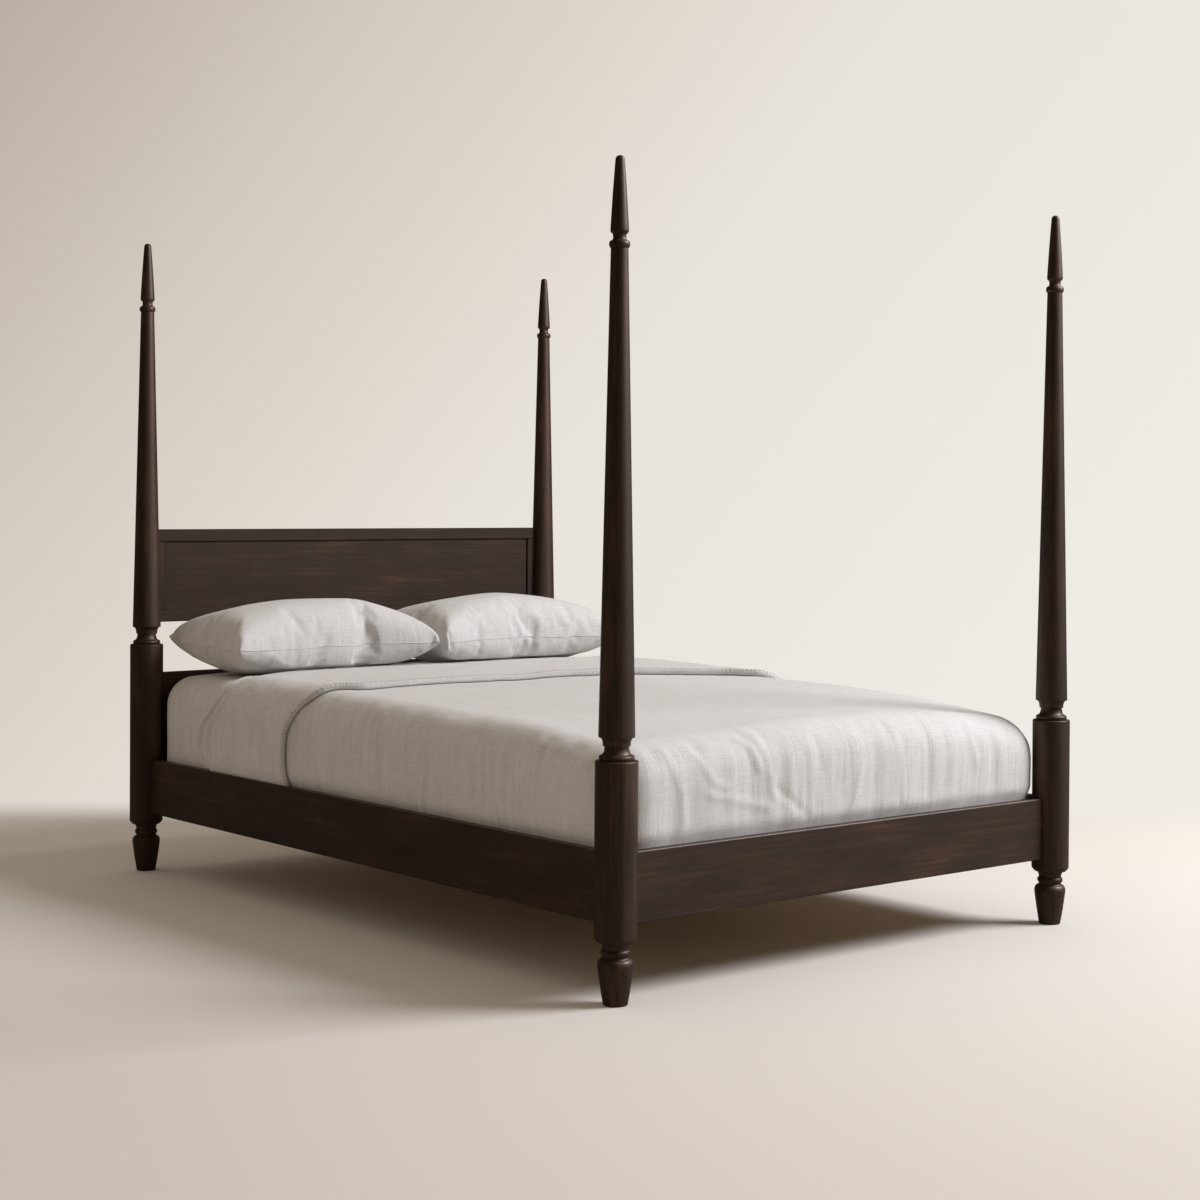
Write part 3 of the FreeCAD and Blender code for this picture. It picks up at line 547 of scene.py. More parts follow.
def post_outline(block_top):
    """Foot, ring, block, collar, shaft, bead and finial, as in the CAD posts."""
    outline = Outline(24.0)
    # The tapered foot and the ring above it.
    outline.quarter(26.5, 2.5, False).taper(38.5, 80.5, 16, 0.6)
    outline.quarter(29.5, 15.0, True).line(27.5, 2.0)
    outline.line(27.5, 4.0).bead(13.0, 3.8).line(27.5, 2.0)
    # The plain round block, with a swelling below it.
    outline.quarter(39.0, 14.0, True).line(39.5, 0.8)
    outline.taper(45.0, 7.0, 4, 0.5).quarter(BLOCK_RADIUS, 2.2, False)
    outline.upright_to(block_top - BLOCK_EDGE).quarter(BLOCK_RADIUS - BLOCK_EDGE, BLOCK_EDGE, True)
    # The collar.
    outline.line(34.5, 0.3).bead(11.0, 3.4)
    outline.quarter(26.0, 17.0, False).line(25.5, 2.0).line(29.5, 0.2)
    outline.line(29.5, 3.6).quarter(37.6, 14.4, True).quarter(SHAFT_FOOT, 1.8, False)
    # The shaft, its bead and the finial.
    outline.taper_to(SHAFT_HEAD, SHAFT_TOP, 48)
    outline.bead(15.0, 3.6).line(16.5, 1.0).quarter(14.0, 7.0, False)
    outline.quarter(17.0, 8.0, True).quarter(19.5, 6.0, False).line(19.4, 4.0)
    outline.taper_to(9.8, FINIAL_NECK, 24, 0.5).quarter(0.0, POST_TOP - FINIAL_NECK, True)
    return outline.points


def turned(points, middle):
    """The outline spun round an upright axis, closed at both ends."""
    built = bmesh.new()
    rings = []
    for radius, height in points:
        if radius < 1e-6:
            rings.append([built.verts.new((middle.x, middle.y, height * MM))] * POST_SIDES)
        else:
            rings.append([built.verts.new((middle.x + radius * MM * x, middle.y + radius * MM * y, height * MM))
                          for x, y in circle(POST_SIDES)])
    bridged(built, rings)
    bmesh.ops.recalc_face_normals(built, faces=built.faces)
    return mesh_of(built, "post")


for end, block_top in BLOCK_TOP.items():
    for side in ("left", "right"):
        node = "post_%s_%s" % (end, side)
        low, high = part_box(node)
        middle = (Vector(low) + Vector(high)) / 2
        post = piece_of("turned_" + node, turned(post_outline(block_top), middle), WOOD[Z])
        smooth(post.data, TURNING_CREASE)
        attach(post, "frame")
        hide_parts(node)


# The bedding: grids that start as flat cloth and lie over the mattress's soft form.

LATTICE, LATTICE_START = 24, 7.3


def rumple(points, sizes_mm, seed):
    """Smooth noise from -1 to 1 at each point, with lumps of the given sizes, the same at each run."""
    lattice = np.random.default_rng(seed).uniform(-1, 1, (LATTICE, LATTICE, LATTICE))
    spot = np.asarray(points) / (np.array(sizes_mm) * MM) + LATTICE_START
    cell = np.floor(spot).astype(int)
    part = spot - cell
    part = part * part * part * (part * (part * 6 - 15) + 10)
    total = np.zeros(spot.shape[:-1])
    for corner in np.ndindex(2, 2, 2):
        share = np.ones(spot.shape[:-1])
        for axis in (X, Y, Z):
            share = share * (part[..., axis] if corner[axis] else 1 - part[..., axis])
        at = (cell + np.array(corner)) % LATTICE
        total = total + share * lattice[at[..., X], at[..., Y], at[..., Z]]
    return total


def waves(points, wave):
    """A wave of the cloth, given as its lumps' sizes in millimetres, its depth and its seed."""
    sizes_mm, depth, seed = wave
    return rumple(points, sizes_mm, seed) * depth


def ease(value, start, end):
    """0 before start, 1 after end, and a smooth step between."""
    t = np.clip((value - start) / (end - start), 0, 1)
    return t * t * (3 - 2 * t)


class Cloth:
    """Grids of cloth that are joined along their borders, with a UV map in metres of the flat cloth."""

    JOIN = 0.02 * MM

    def __init__(self):
        self.points, self.flat, self.quads = [], [], []
        self.count = 0

    def patch(self, points, flat, outward):
        """One grid. Its quads face the way that outward points."""
        rows, columns = points.shape[:2]
        number = np.arange(rows * columns).reshape(rows, columns) + self.count
        quads = np.stack([number[:-1, :-1], number[1:, :-1], number[1:, 1:], number[:-1, 1:]], -1).reshape(-1, 4)
        first = points[1:, :-1] - points[:-1, :-1]
        second = points[:-1, 1:] - points[:-1, :-1]
        if (np.cross(first, second) * outward[:-1, :-1]).sum() < 0:
            quads = quads[:, ::-1]
        self.points.append(points.reshape(-1, 3))
        self.flat.append(flat.reshape(-1, 2))
        self.quads.append(quads)
        self.count += rows * columns

    def mesh(self):
        """All the grids as one mesh, joined where their borders meet."""
        points, flat = np.concatenate(self.points), np.concatenate(self.flat)
        built = bmesh.new()
        uv = built.loops.layers.uv.new("flat_cloth")
        verts = [built.verts.new(p) for p in points]
        for quad in np.concatenate(self.quads).tolist():
            face = built.faces.new([verts[i] for i in quad])
            for loop, i in zip(face.loops, quad):
                loop[uv].uv = flat[i]
        bmesh.ops.remove_doubles(built, verts=built.verts, dist=self.JOIN)
        return mesh_of(built, "cloth")


MATTRESS_LOW, MATTRESS_HIGH = (np.array(corner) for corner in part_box("mattress"))
HALF_X, HALF_Y, BED_TOP = MATTRESS_HIGH
RAIL_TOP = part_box("side_rail_left")[1][Z]
EDGE_ROUND = 74 * MM
INSET_X, INSET_Y = HALF_X - EDGE_ROUND, HALF_Y - EDGE_ROUND
CORNER_TURNS = np.linspace(0, HALF_TURN / 2, 15)
CROWN = 6 * MM
FOOT_SINK = {-1: 42 * MM, 1: 60 * MM}
HEAD_SINK = 12 * MM
FOOT_REACH = 270 * MM
HEAD_REACH = 0.4 * FOOT_REACH


def settled(points):
    """The soft form: a low crown in the middle, and corners that sink, most of all at the foot."""
    x, y, z = points[..., X], points[..., Y], points[..., Z]
    crown = CROWN * (1 - (x / HALF_X) ** 2) * (1 - (y / HALF_Y) ** 2)
    sink = 0.0
    for side, foot_sink in FOOT_SINK.items():
        for end, depth, reach in ((-1, foot_sink, FOOT_REACH), (1, HEAD_SINK, HEAD_REACH)):
            away = np.hypot(np.maximum(HALF_X - side * x, 0), np.maximum(HALF_Y - end * y, 0))
            sink = sink + depth * np.exp(-away / reach)
    moved = points.copy()
    moved[..., Z] += ease(z, RAIL_TOP, BED_TOP) * (crown - sink)
    return moved


def over_edge(base, out, run, lift, rumples):
    """Points that go from a line on the top over the rounded edge and down the side.

    base is where the rounding starts, out the level direction away from the bed, run the distance along the
    cloth from base, lift the height above the mattress, and rumples a function that adds to it.
    """
    turn = np.minimum(run / EDGE_ROUND, HALF_TURN / 2)
    wall = np.maximum(run - EDGE_ROUND * HALF_TURN / 2, 0)
    normal = np.concatenate([out * np.sin(turn)[..., None], np.cos(turn)[..., None]], -1)
    radius = EDGE_ROUND + lift
    points = np.concatenate([
        base + out * (radius * np.sin(turn))[..., None],
        (BED_TOP - EDGE_ROUND + radius * np.cos(turn) - wall)[..., None]], -1)
    return settled(points + normal * rumples(points, normal, run)[..., None]), normal


def stops(low, high, step):
    """Even places from low to high, about a step apart."""
    return np.linspace(low, high, max(2, int(round((high - low) / step)) + 1))


def cross_lines(hem, step):
    """Lines across the bed, from the hem on the left, over the top, to the hem on the right."""
    deep = BED_TOP - EDGE_ROUND - hem + EDGE_ROUND * HALF_TURN / 2
    run = stops(0, deep, step)
    top = stops(-INSET_X, INSET_X, step)
    base = np.concatenate([np.full(len(run) - 1, -INSET_X), top, np.full(len(run) - 1, INSET_X)])
    out = np.concatenate([np.full(len(run) - 1, -1.0), np.full(len(top), -1.0), np.full(len(run) - 1, 1.0)])
    down = np.concatenate([run[:0:-1], np.zeros(len(top)), run[1:]])
    return base, out, down, top, run


def end_wall(cloth, end, lines, lift, rumples):
    """The side at the foot (end -1) or the head (end 1), and its two rounded corners."""
    top, run = lines[3:]
    across, down = np.meshgrid(top, run, indexing="ij")
    base = np.stack([across, np.full_like(across, end * INSET_Y)], -1)
    out = np.stack([np.zeros_like(across), np.full_like(across, float(end))], -1)
    points, normal = over_edge(base, out, down, lift, rumples)
    cloth.patch(points, np.stack([across, end * (INSET_Y + down)], -1), normal)
    for side in (-1, 1):
        turn, down = np.meshgrid(CORNER_TURNS, run, indexing="ij")
        base = np.stack([np.full_like(turn, side * INSET_X), np.full_like(turn, end * INSET_Y)], -1)
        out = np.stack([side * np.cos(turn), end * np.sin(turn)], -1)
        points, normal = over_edge(base, out, down, lift, rumples)
        flat = np.stack([side * (INSET_X + down), end * (INSET_Y + turn * EDGE_ROUND)], -1)
        cloth.patch(points, flat, normal)


def along_bed(cloth, lines, y, lift, rumples, flat_y):
    """A grid of the cross lines, each at the given places along the bed."""
    base, out, down = lines[:3]
    across = np.repeat(base[:, None], y.shape[1], 1)
    points, normal = over_edge(
        np.stack([across, y], -1),
        np.stack([np.repeat(out[:, None], y.shape[1], 1), np.zeros_like(y)], -1),
        np.repeat(down[:, None], y.shape[1], 1), lift, rumples)
    flat = np.stack([across + (out * down)[:, None], flat_y], -1)
    cloth.patch(points, flat, normal)
    return points, normal


def whole_cover(lines, step, lift, rumples):
    """Cloth over the whole top and down all four sides."""
    cloth = Cloth()
    y = np.repeat(stops(-INSET_Y, INSET_Y, step)[None, :], len(lines[0]), 0)
    along_bed(cloth, lines, y, lift, rumples, y)
    for end in (-1, 1):
        end_wall(cloth, end, lines, lift, rumples)
    return cloth


EDGING_SIDES = 8
EDGING_FLAT = (8 * MM, 1.2 * MM)


def edging(name, line, radius, finish, body):
    """A closed tube along a line: a pillow's seam or a mattress's taped edge."""
    ahead = np.roll(line, -1, 0) - np.roll(line, 1, 0)
    ahead /= np.linalg.norm(ahead, axis=1, keepdims=True)
    side = np.cross(ahead, (0, 0, 1))
    side /= np.linalg.norm(side, axis=1, keepdims=True)
    above = np.cross(side, ahead)
    built = bmesh.new()
    uv = built.loops.layers.uv.new("flat_cloth")
    rings = [[built.verts.new(line[i] + radius * (side[i] * x + above[i] * y)) for x, y in circle(EDGING_SIDES)]
             for i in range(len(line))]
    for i, low in enumerate(rings):
        high = rings[(i + 1) % len(rings)]
        for k in range(EDGING_SIDES):
            after = (k + 1) % EDGING_SIDES
            face = built.faces.new([low[k], low[after], high[after], high[k]])
            for loop, (a, b) in zip(face.loops, ((i, k), (i, k + 1), (i + 1, k + 1), (i + 1, k))):
                loop[uv].uv = (a * EDGING_FLAT[0], b * EDGING_FLAT[1])
    bmesh.ops.recalc_face_normals(built, faces=built.faces)
    tube = piece_of(name, mesh_of(built, name), finish)
    tube.data.shade_smooth()
    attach(tube, body)


# The mattress: a closed padded block with a taped edge round its top and its base.

PADDING_STEP = 24 * MM
SHEET_ROOM = 3 * MM
SLAT_ROOM = 0.5 * MM
TAPE_RADIUS, TAPE_INSET, TAPE_SINK = 5 * MM, 6 * MM, 4 * MM


def no_rumples(points, normal, run):
    """The padding lies smooth under the sheet."""
    return np.zeros(run.shape)


def mattress_half(block, turned_over):
    """The upper half of the padding, or the lower one, which is its mirror image on a flat base."""
    middle = (MATTRESS_LOW[Z] + BED_TOP) / 2
    half = whole_cover(cross_lines(middle, PADDING_STEP), PADDING_STEP, 0.0, no_rumples)
    for points, flat, quads in zip(half.points, half.flat, half.quads):
        points = points.copy()
        points[:, :2] *= 1 - SHEET_ROOM / HALF_X
        points[:, Z] -= SHEET_ROOM
        if turned_over:
            points[:, Z] = np.maximum(2 * middle - SHEET_ROOM - points[:, Z], MATTRESS_LOW[Z] + SLAT_ROOM)
            quads = quads[:, ::-1]
        block.points.append(points)
        block.flat.append(flat)
        block.quads.append(quads - quads.min() + block.count)
        block.count += len(points)


block = Cloth()
mattress_half(block, False)
mattress_half(block, True)
mattress = piece_of("mattress_padded", block.mesh(), TICKING)
smooth(mattress.data, CLOTH_CREASE)
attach(mattress, "mattress")
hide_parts("mattress")
for name, tilt, level, way in (("mattress_tape_top", 45, BED_TOP, 1), ("mattress_tape_base", 35, MATTRESS_LOW[Z], -1)):
    tilt = math.radians(tilt)
    reach = EDGE_ROUND * math.sin(tilt) - TAPE_INSET
    line = []
    for start, (side, end) in enumerate(((1, 1), (-1, 1), (-1, -1), (1, -1))):
        for turn in CORNER_TURNS + start * HALF_TURN / 2:
            line.append((side * INSET_X + reach * math.cos(turn), end * INSET_Y + reach * math.sin(turn),
                         level - way * EDGE_ROUND * (1 - math.cos(tilt))))
    edging(name, settled(np.array(line)) - [0, 0, way * TAPE_SINK], TAPE_RADIUS, TICKING, "mattress")


# The fitted sheet: smooth on the top, with small gathers towards its elastic hem.

SHEET_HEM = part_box("fitted_sheet")[0][Z]
SHEET_STEP = 15 * MM
SHEET_LIFT = 0.4 * MM
SHEET_THICK = 0.8 * MM
SHEET_GATHERS = (34, 34, 400), 1.6 * MM, 11
SHEET_SWELLS = (150, 150, 120), 1.6 * MM, 12
SHEET_CREASES = (60, 110, 90), 1.2 * MM, 13
# How far down its sides the sheet starts to gather, and how far above the rails it is held flat again.
SHEET_SIDE = (50 * MM, 200 * MM)
SHEET_HELD = (-RAIL_TOP - 30 * MM, -RAIL_TOP)
HELD_FLAT = 0.7
SHEET_SLACK = 1.5 * MM


def sheet_rumples(points, normal, run):
    """Gathers on the sides, and soft swells and creases all over."""
    gathers = waves(points, SHEET_GATHERS) * ease(run, *SHEET_SIDE)
    held = 1 - HELD_FLAT * ease(-points[..., Z], *SHEET_HELD)
    creases = np.abs(waves(points, SHEET_CREASES))
    return (gathers + waves(points, SHEET_SWELLS)) * held + creases + SHEET_SLACK


def linen_layer(name, node, cloth, thickness):
    """Cloth made a layer of linen with a thickness, in the place of a CAD node on the mattress."""
    layer = piece_of(name, cloth.mesh(), LINEN)
    smooth(layer.data, CLOTH_CREASE)
    wall = layer.modifiers.new("cloth_thickness", "SOLIDIFY")
    wall.thickness = thickness
    wall.offset = 0.0
    frozen(layer)
    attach(layer, "mattress")
    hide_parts(node)
    return layer


lines = cross_lines(SHEET_HEM, SHEET_STEP)
fitted_sheet = linen_layer("fitted_sheet_linen", "fitted_sheet",
                           whole_cover(lines, SHEET_STEP, SHEET_LIFT, sheet_rumples), SHEET_THICK)


# The coverlet: tucked in inside the rails, and turned back on itself at the head.

COVER_LOW, COVER_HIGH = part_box("coverlet")
COVER_HEM = COVER_LOW[Z]
FOLD_Y = COVER_HIGH[Y] - 2 * MM
COVER_LIFT = 4.6 * MM
BAND_LIFT = 21 * MM
COVER_THICK = 2.6 * MM
COVER_STEP_ACROSS, COVER_STEP_ALONG = 8 * MM, 18 * MM

# Places along the bed, in millimetres, of the fold and of the hem, against the distance across the flat cloth.
FOLD_PATH = [(-945, 640), (-880, 672), (-845, 698), (-810, 708), (-771, 700), (-733, 668), (-700, 626), (-660, 602),
             (-620, 610), (-560, 650), (-450, 690), (0, 700), (450, 690), (620, 655), (720, 676), (800, 700),
             (880, 682), (945, 660)]
HEM_PATH = [(-945, 282), (-883, 289), (-827, 297), (-776, 295), (-736, 280), (-701, 250), (-655, 200), (-560, 155),
            (-400, 165), (-200, 175), (0, 175), (130, 165), (280, 132), (400, 82), (544, 0), (612, -75),
            (700, -120), (800, -135), (945, -130)]
PATH_PLACES = np.linspace(-0.95, 0.95, 381)
PATH_SMOOTHINGS = 6


def path_y(path, across):
    """A path's place along the bed at each distance across, with its corners smoothed."""
    rough = np.interp(PATH_PLACES, [a * MM for a, _ in path], [b * MM for _, b in path])
    for _ in range(PATH_SMOOTHINGS):
        rough[1:-1] = (rough[:-2] + 2 * rough[1:-1] + rough[2:]) / 4
    return np.interp(across, PATH_PLACES, rough)


# Creases on the foot side, as places across the bed and heights in millimetres, with each one's rise.
FOOT_CREASES = [
    ([(-360, 562), (-329, 548), (-303, 520), (-285, 470)], 5.0), ([(-275, 533), (-259, 461), (-245, 400)], 2.6),
    ([(-476, 532), (-425, 453), (-388, 436)], 3.0), ([(-439, 423), (-350, 399), (-259, 376)], 3.0),
    ([(-235, 421), (-185, 381), (-140, 346)], -3.2), ([(38, 461), (17, 390), (-3, 340)], 3.0),
    ([(-102, 520), (-94, 449)], -2.2), ([(262, 500), (262, 355)], -2.2), ([(-150, 500), (-141, 360)], -2.0),
    ([(-558, 552), (-517, 433), (-510, 360)], 2.4), ([(150, 540), (170, 460), (175, 360)], 2.2),
    ([(420, 520), (440, 430)], 2.0),
]
CREASE_WIDTH = 9 * MM
FOOT_SIDE = (INSET_Y + 0.3 * EDGE_ROUND, HALF_Y - 4 * MM)


def foot_creases(points):
    """Long low ridges and hollows on the side that faces the foot."""
    x, z = points[..., X], points[..., Z]
    facing = ease(-points[..., Y], *FOOT_SIDE)
    total = np.zeros(x.shape)
    for path, rise in FOOT_CREASES:
        nearest = np.full(x.shape, 1.0)
        for (x0, z0), (x1, z1) in zip(path, path[1:]):
            dx, dz = (x1 - x0) * MM, (z1 - z0) * MM
            t = np.clip(((x - x0 * MM) * dx + (z - z0 * MM) * dz) / (dx * dx + dz * dz), 0, 1)
            nearest = np.minimum(nearest, np.hypot(x - x0 * MM - t * dx, z - z0 * MM - t * dz))
        total = total + rise * MM * np.exp(-(nearest / CREASE_WIDTH) ** 2)
    return total * facing


# Spans over which the cloth eases from one state to the next: along the bed and across it to where the pillows
# press, down the sides, past the top of the rails, and to the left edge, which the light grazes.
PILLOWS_ALONG, PILLOWS_ACROSS = (540 * MM, 630 * MM), (600 * MM, 670 * MM)
COVER_SIDE, DRAG_START = (20 * MM, 160 * MM), (0.0, 60 * MM)
TUCK = (-RAIL_TOP - 34 * MM, -RAIL_TOP + 6 * MM)
CALM_RIGHT = (350 * MM, 600 * MM)
GRAZED_LEFT, GRAZED_DOWN = (400 * MM, 660 * MM), (60 * MM, 200 * MM)


def across_cloth(points, run):
    """The distance across the flat cloth of points on the top and the long sides."""
    return np.where(run > 0, np.sign(points[..., X]) * (INSET_X + run), points[..., X])


def pressed(points):
    """One where the pillows press the cloth down, nought elsewhere."""
    return ease(points[..., Y], *PILLOWS_ALONG) * (1 - ease(np.abs(points[..., X]), *PILLOWS_ACROSS))


def beside(run):
    """Nought on the top, one on the sides."""
    return ease(run, *COVER_SIDE)


def tucked(points):
    """One where the cloth goes down behind the rails, nought above them."""
    return ease(-points[..., Z], *TUCK)


# The waves of both layers, and how much deeper the drags are on the long sides.
COVER_DRAGS, DEEPER_DRAGS = ((30, 30, 260), 2.2 * MM, 21), 2.0 / 2.2
COVER_BROAD = (120, 120, 300), 3.2 * MM, 22
COVER_SWELLS = (230, 280, 200), 3.4 * MM, 23
COVER_LUMPS = (100, 130, 200), 1.6 * MM, 25
COVER_FINE = (45, 70, 160), 1.4 * MM, 24
COVER_DENTS = (110, 95, 140), 4.5 * MM, 26
DENT_PUFF = 1.8 * MM
COVER_PLUMP, FOOT_PLUMP = 6 * MM, 5 * MM
BAND_FOLDS = (500, 60, 500), 5.5 * MM, 31
BAND_SWELLS = (160, 140, 200), 2.4 * MM, 32
BAND_PUFF = 2.5 * MM
FOLD_RIDGE, RIDGE_SPACING, RIDGE_REACH, RIDGE_START = 9 * MM, 30 * MM, 120 * MM, 0.5
FOLD_PUFF, PUFF_REACH = 5 * MM, 24 * MM
# The share of a ridge and of the puff beside the fold that is left on the top of the bed.
RIDGE_ON_TOP, PUFF_ON_TOP = 0.25, 0.3
# The shares by which the rumples are flatter: behind the rails, under the pillows and on the right of the top.
COVER_TUCKED, BAND_TUCKED, UNDER_PILLOWS, CALMER = 0.85, 0.8, 0.6, 0.7


def cover_rumples(points, normal, run):
    """The lower layer: upright drags on the sides, deeper on the long ones, and soft swells on the top."""
    side, tuck = beside(run), tucked(points)
    drags = waves(points, COVER_DRAGS) * (1 + DEEPER_DRAGS * np.abs(normal[..., X])) * ease(run, *DRAG_START)
    broad = waves(points, COVER_BROAD) * side
    calm = 1 - CALMER * ease(points[..., X], *CALM_RIGHT) * (1 - side)
    soft = (waves(points, COVER_SWELLS) + waves(points, COVER_LUMPS)) * calm
    fine = np.abs(waves(points, COVER_FINE))
    grazed = ease(-points[..., X], *GRAZED_LEFT) * (1 - ease(run, *GRAZED_DOWN))
    dents = (DENT_PUFF + waves(points, COVER_DENTS)) * grazed
    loose = drags + broad + soft + fine + dents + foot_creases(points)
    plump = (COVER_PLUMP + FOOT_PLUMP * np.abs(normal[..., Y])) * side * (1 - tuck)
    return loose * (1 - COVER_TUCKED * tuck) * (1 - UNDER_PILLOWS * pressed(points)) + plump


def band_rumples(points, normal, run):
    """The turned-back layer: the lower layer's rumples, with ridges beside the fold and folds along the sides."""
    side = beside(run)
    from_fold = np.maximum(path_y(FOLD_PATH, across_cloth(points, run)) - points[..., Y], 0)
    ridge = (0.5 + 0.5 * np.cos(from_fold / RIDGE_SPACING * 2 * HALF_TURN - RIDGE_START)) ** 3
    ridges = FOLD_RIDGE * ridge * np.exp(-from_fold / RIDGE_REACH) * (RIDGE_ON_TOP + (1 - RIDGE_ON_TOP) * side)
    puffed = FOLD_PUFF * np.exp(-from_fold / PUFF_REACH) * (PUFF_ON_TOP + (1 - PUFF_ON_TOP) * side)
    folds = waves(points, BAND_FOLDS) * side
    loose = (folds + waves(points, BAND_SWELLS) + ridges + puffed) * (1 - UNDER_PILLOWS * pressed(points))
    return cover_rumples(points, normal, run) + (loose + BAND_PUFF) * (1 - BAND_TUCKED * tucked(points))


def between(share):
    """Rumples that go from the lower layer's, at share nought, to the band's, at share one."""
    def rumples(points, normal, run):
        return cover_rumples(points, normal, run) * (1 - share) + band_rumples(points, normal, run) * share
    return rumples


lines = cross_lines(COVER_HEM, COVER_STEP_ACROSS)
base, out, down, _, run = lines
across = base + out * down
fold = path_y(FOLD_PATH, across)[:, None]
hem_y = path_y(HEM_PATH, across)[:, None]
cover = Cloth()
y = -INSET_Y + (fold + INSET_Y) * stops(0, 1, COVER_STEP_ALONG / (FOLD_Y + INSET_Y))
along_bed(cover, lines, y, COVER_LIFT, cover_rumples, y)
end_wall(cover, -1, lines, COVER_LIFT, cover_rumples)

# The band: a puffed fold, the part that lies on the lower layer, and a plump hem that curls under. Its rows are
# closer together beside the fold.
FOLD_TURNS = np.linspace(0, HALF_TURN, 9)
FOLD_BULGE = 1.5
HEM_CURL = np.radians([65, 45, 28, 10, -10, -30, -52, -75])
HEM_GAP = 3.4 * MM
HEM_RADIUS = (BAND_LIFT - COVER_LIFT - HEM_GAP) / 2
BAND_ROWS = np.linspace(0, 1, 56) ** 1.4
PRESSED_FLAT = 0.72

flat_band = fold + (hem_y + HEM_RADIUS - fold) * BAND_ROWS
turned_y = np.concatenate([flat_band, hem_y + HEM_RADIUS * (1 - np.cos(HEM_CURL))], 1)
height = np.concatenate([np.ones(len(BAND_ROWS)), (1 + np.sin(HEM_CURL)) / 2])[None, :]
under_pillows = pressed(np.stack([np.repeat(across[:, None], turned_y.shape[1], 1), turned_y], -1))
band_lift = COVER_LIFT + HEM_GAP + 2 * HEM_RADIUS * height * (1 - PRESSED_FLAT * under_pillows)
half_gap = (band_lift[:, :1] - COVER_LIFT) / 2
fold_height = (1 - np.cos(FOLD_TURNS))[None, :]
along_bed(cover, lines, fold + FOLD_BULGE * half_gap * np.sin(FOLD_TURNS), COVER_LIFT + half_gap * fold_height,
          between(fold_height / 2), fold + half_gap * FOLD_TURNS)
flat_y = 2 * fold - flat_band + HALF_TURN * half_gap
flat_y = np.concatenate([flat_y, flat_y[:, -1:] + HEM_RADIUS * (HALF_TURN / 2 - HEM_CURL)], 1)
band_points, band_normals = along_bed(cover, lines, turned_y, band_lift, between(height), flat_y)
coverlet = linen_layer("coverlet_linen", "coverlet", cover, COVER_THICK)

# Stitches over the hem's face: rows of the band, counted from its last flat one, and the way each row slants.
STITCH_ROWS = ((0, 0.9), (1, -0.9), (3, 0.9), (5, -0.9))
STITCH_LENGTH, STITCH_LOOSE_TURN, STITCH_SEED = 9 * MM, 0.6, 7

sewn = []
for past_flat, slant in STITCH_ROWS:
    row = len(BAND_ROWS) - 1 + past_flat
    hem_line = band_points[:, row]
    ahead = np.gradient(hem_line, axis=0)
    faces = np.cross(ahead, band_points[:, row - 1] - band_points[:, row + 1])
    faces *= np.sign((faces * band_normals[:, row]).sum(-1, keepdims=True))
    faces /= np.linalg.norm(faces, axis=-1, keepdims=True)
    ahead /= np.linalg.norm(ahead, axis=-1, keepdims=True)
    sewn.append((hem_line + faces * (COVER_THICK / 2), faces, ahead + slant * np.cross(faces, ahead)))
places, faces, slanted = (np.concatenate(part) for part in zip(*sewn))
hem_stitches = strewn("coverlet_hem_stitches", STITCH, STITCH_LENGTH, LINEN, places, faces, slanted,
                      STITCH_LOOSE_TURN, STITCH_SEED)
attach(hem_stitches, "mattress")


# The pillows: two layers of cloth sewn round their edges and filled by pressure.

CELLS_X, CELLS_Y = 84, 52
CASE_BOW, CASE_JITTER = 30 * MM, 0.6 * MM
SPARE_WIDTH, SPARE_DEPTH = 1.05, 1.12
FILLING_FRAMES = 36
FULLNESS = 0.72
SEAM_HEIGHT, SEAM_RADIUS, SEAM_SMOOTHINGS = 82 * MM, 1.5 * MM, 3
BELLY_PRESS = 1.25
SHEET_GAP = 0.6 * MM
BAND_STEP = 22 * MM
REST_ROUND = 12 * MM
CORNER_RISE = 12 * MM
# Where along the bed the pillow comes off the band, and which shares of its size its raised corner takes.
BAND_EDGE = (700 * MM, 770 * MM)
RAISED_ACROSS, RAISED_ALONG = (0.2, 0.5), (0.1, 0.5)


def sewn_case(width, depth, seed):
    """Two flat layers that share their edge, the upper one bowed up a little and the lower one down."""
    built = bmesh.new()
    uv = built.loops.layers.uv.new("flat_cloth")
    jitter = np.random.default_rng(seed).uniform(-1, 1, (2, CELLS_X + 1, CELLS_Y + 1)) * CASE_JITTER
    layers = []
    for layer, way in enumerate((1, -1)):
        grid = []
        for i in range(CELLS_X + 1):
            row = []
            for j in range(CELLS_Y + 1):
                if layer and (i in (0, CELLS_X) or j in (0, CELLS_Y)):
                    row.append(layers[0][i][j])
                    continue
                u, v = i / CELLS_X, j / CELLS_Y
                bow = CASE_BOW * math.sin(HALF_TURN * u) * math.sin(HALF_TURN * v) + jitter[layer, i, j]
                row.append(built.verts.new(((u - 0.5) * width, (v - 0.5) * depth, way * bow)))
            grid.append(row)
        layers.append(grid)
        for i in range(CELLS_X):
            for j in range(CELLS_Y):
                places = [(i, j), (i + 1, j), (i + 1, j + 1), (i, j + 1)][::way]
                face = built.faces.new([grid[a][b] for a, b in places])
                for loop, (a, b) in zip(face.loops, places):
                    loop[uv].uv = ((a / CELLS_X - 0.5) * width, (b / CELLS_Y - 0.5) * depth + layer)
    return mesh_of(built, "case")


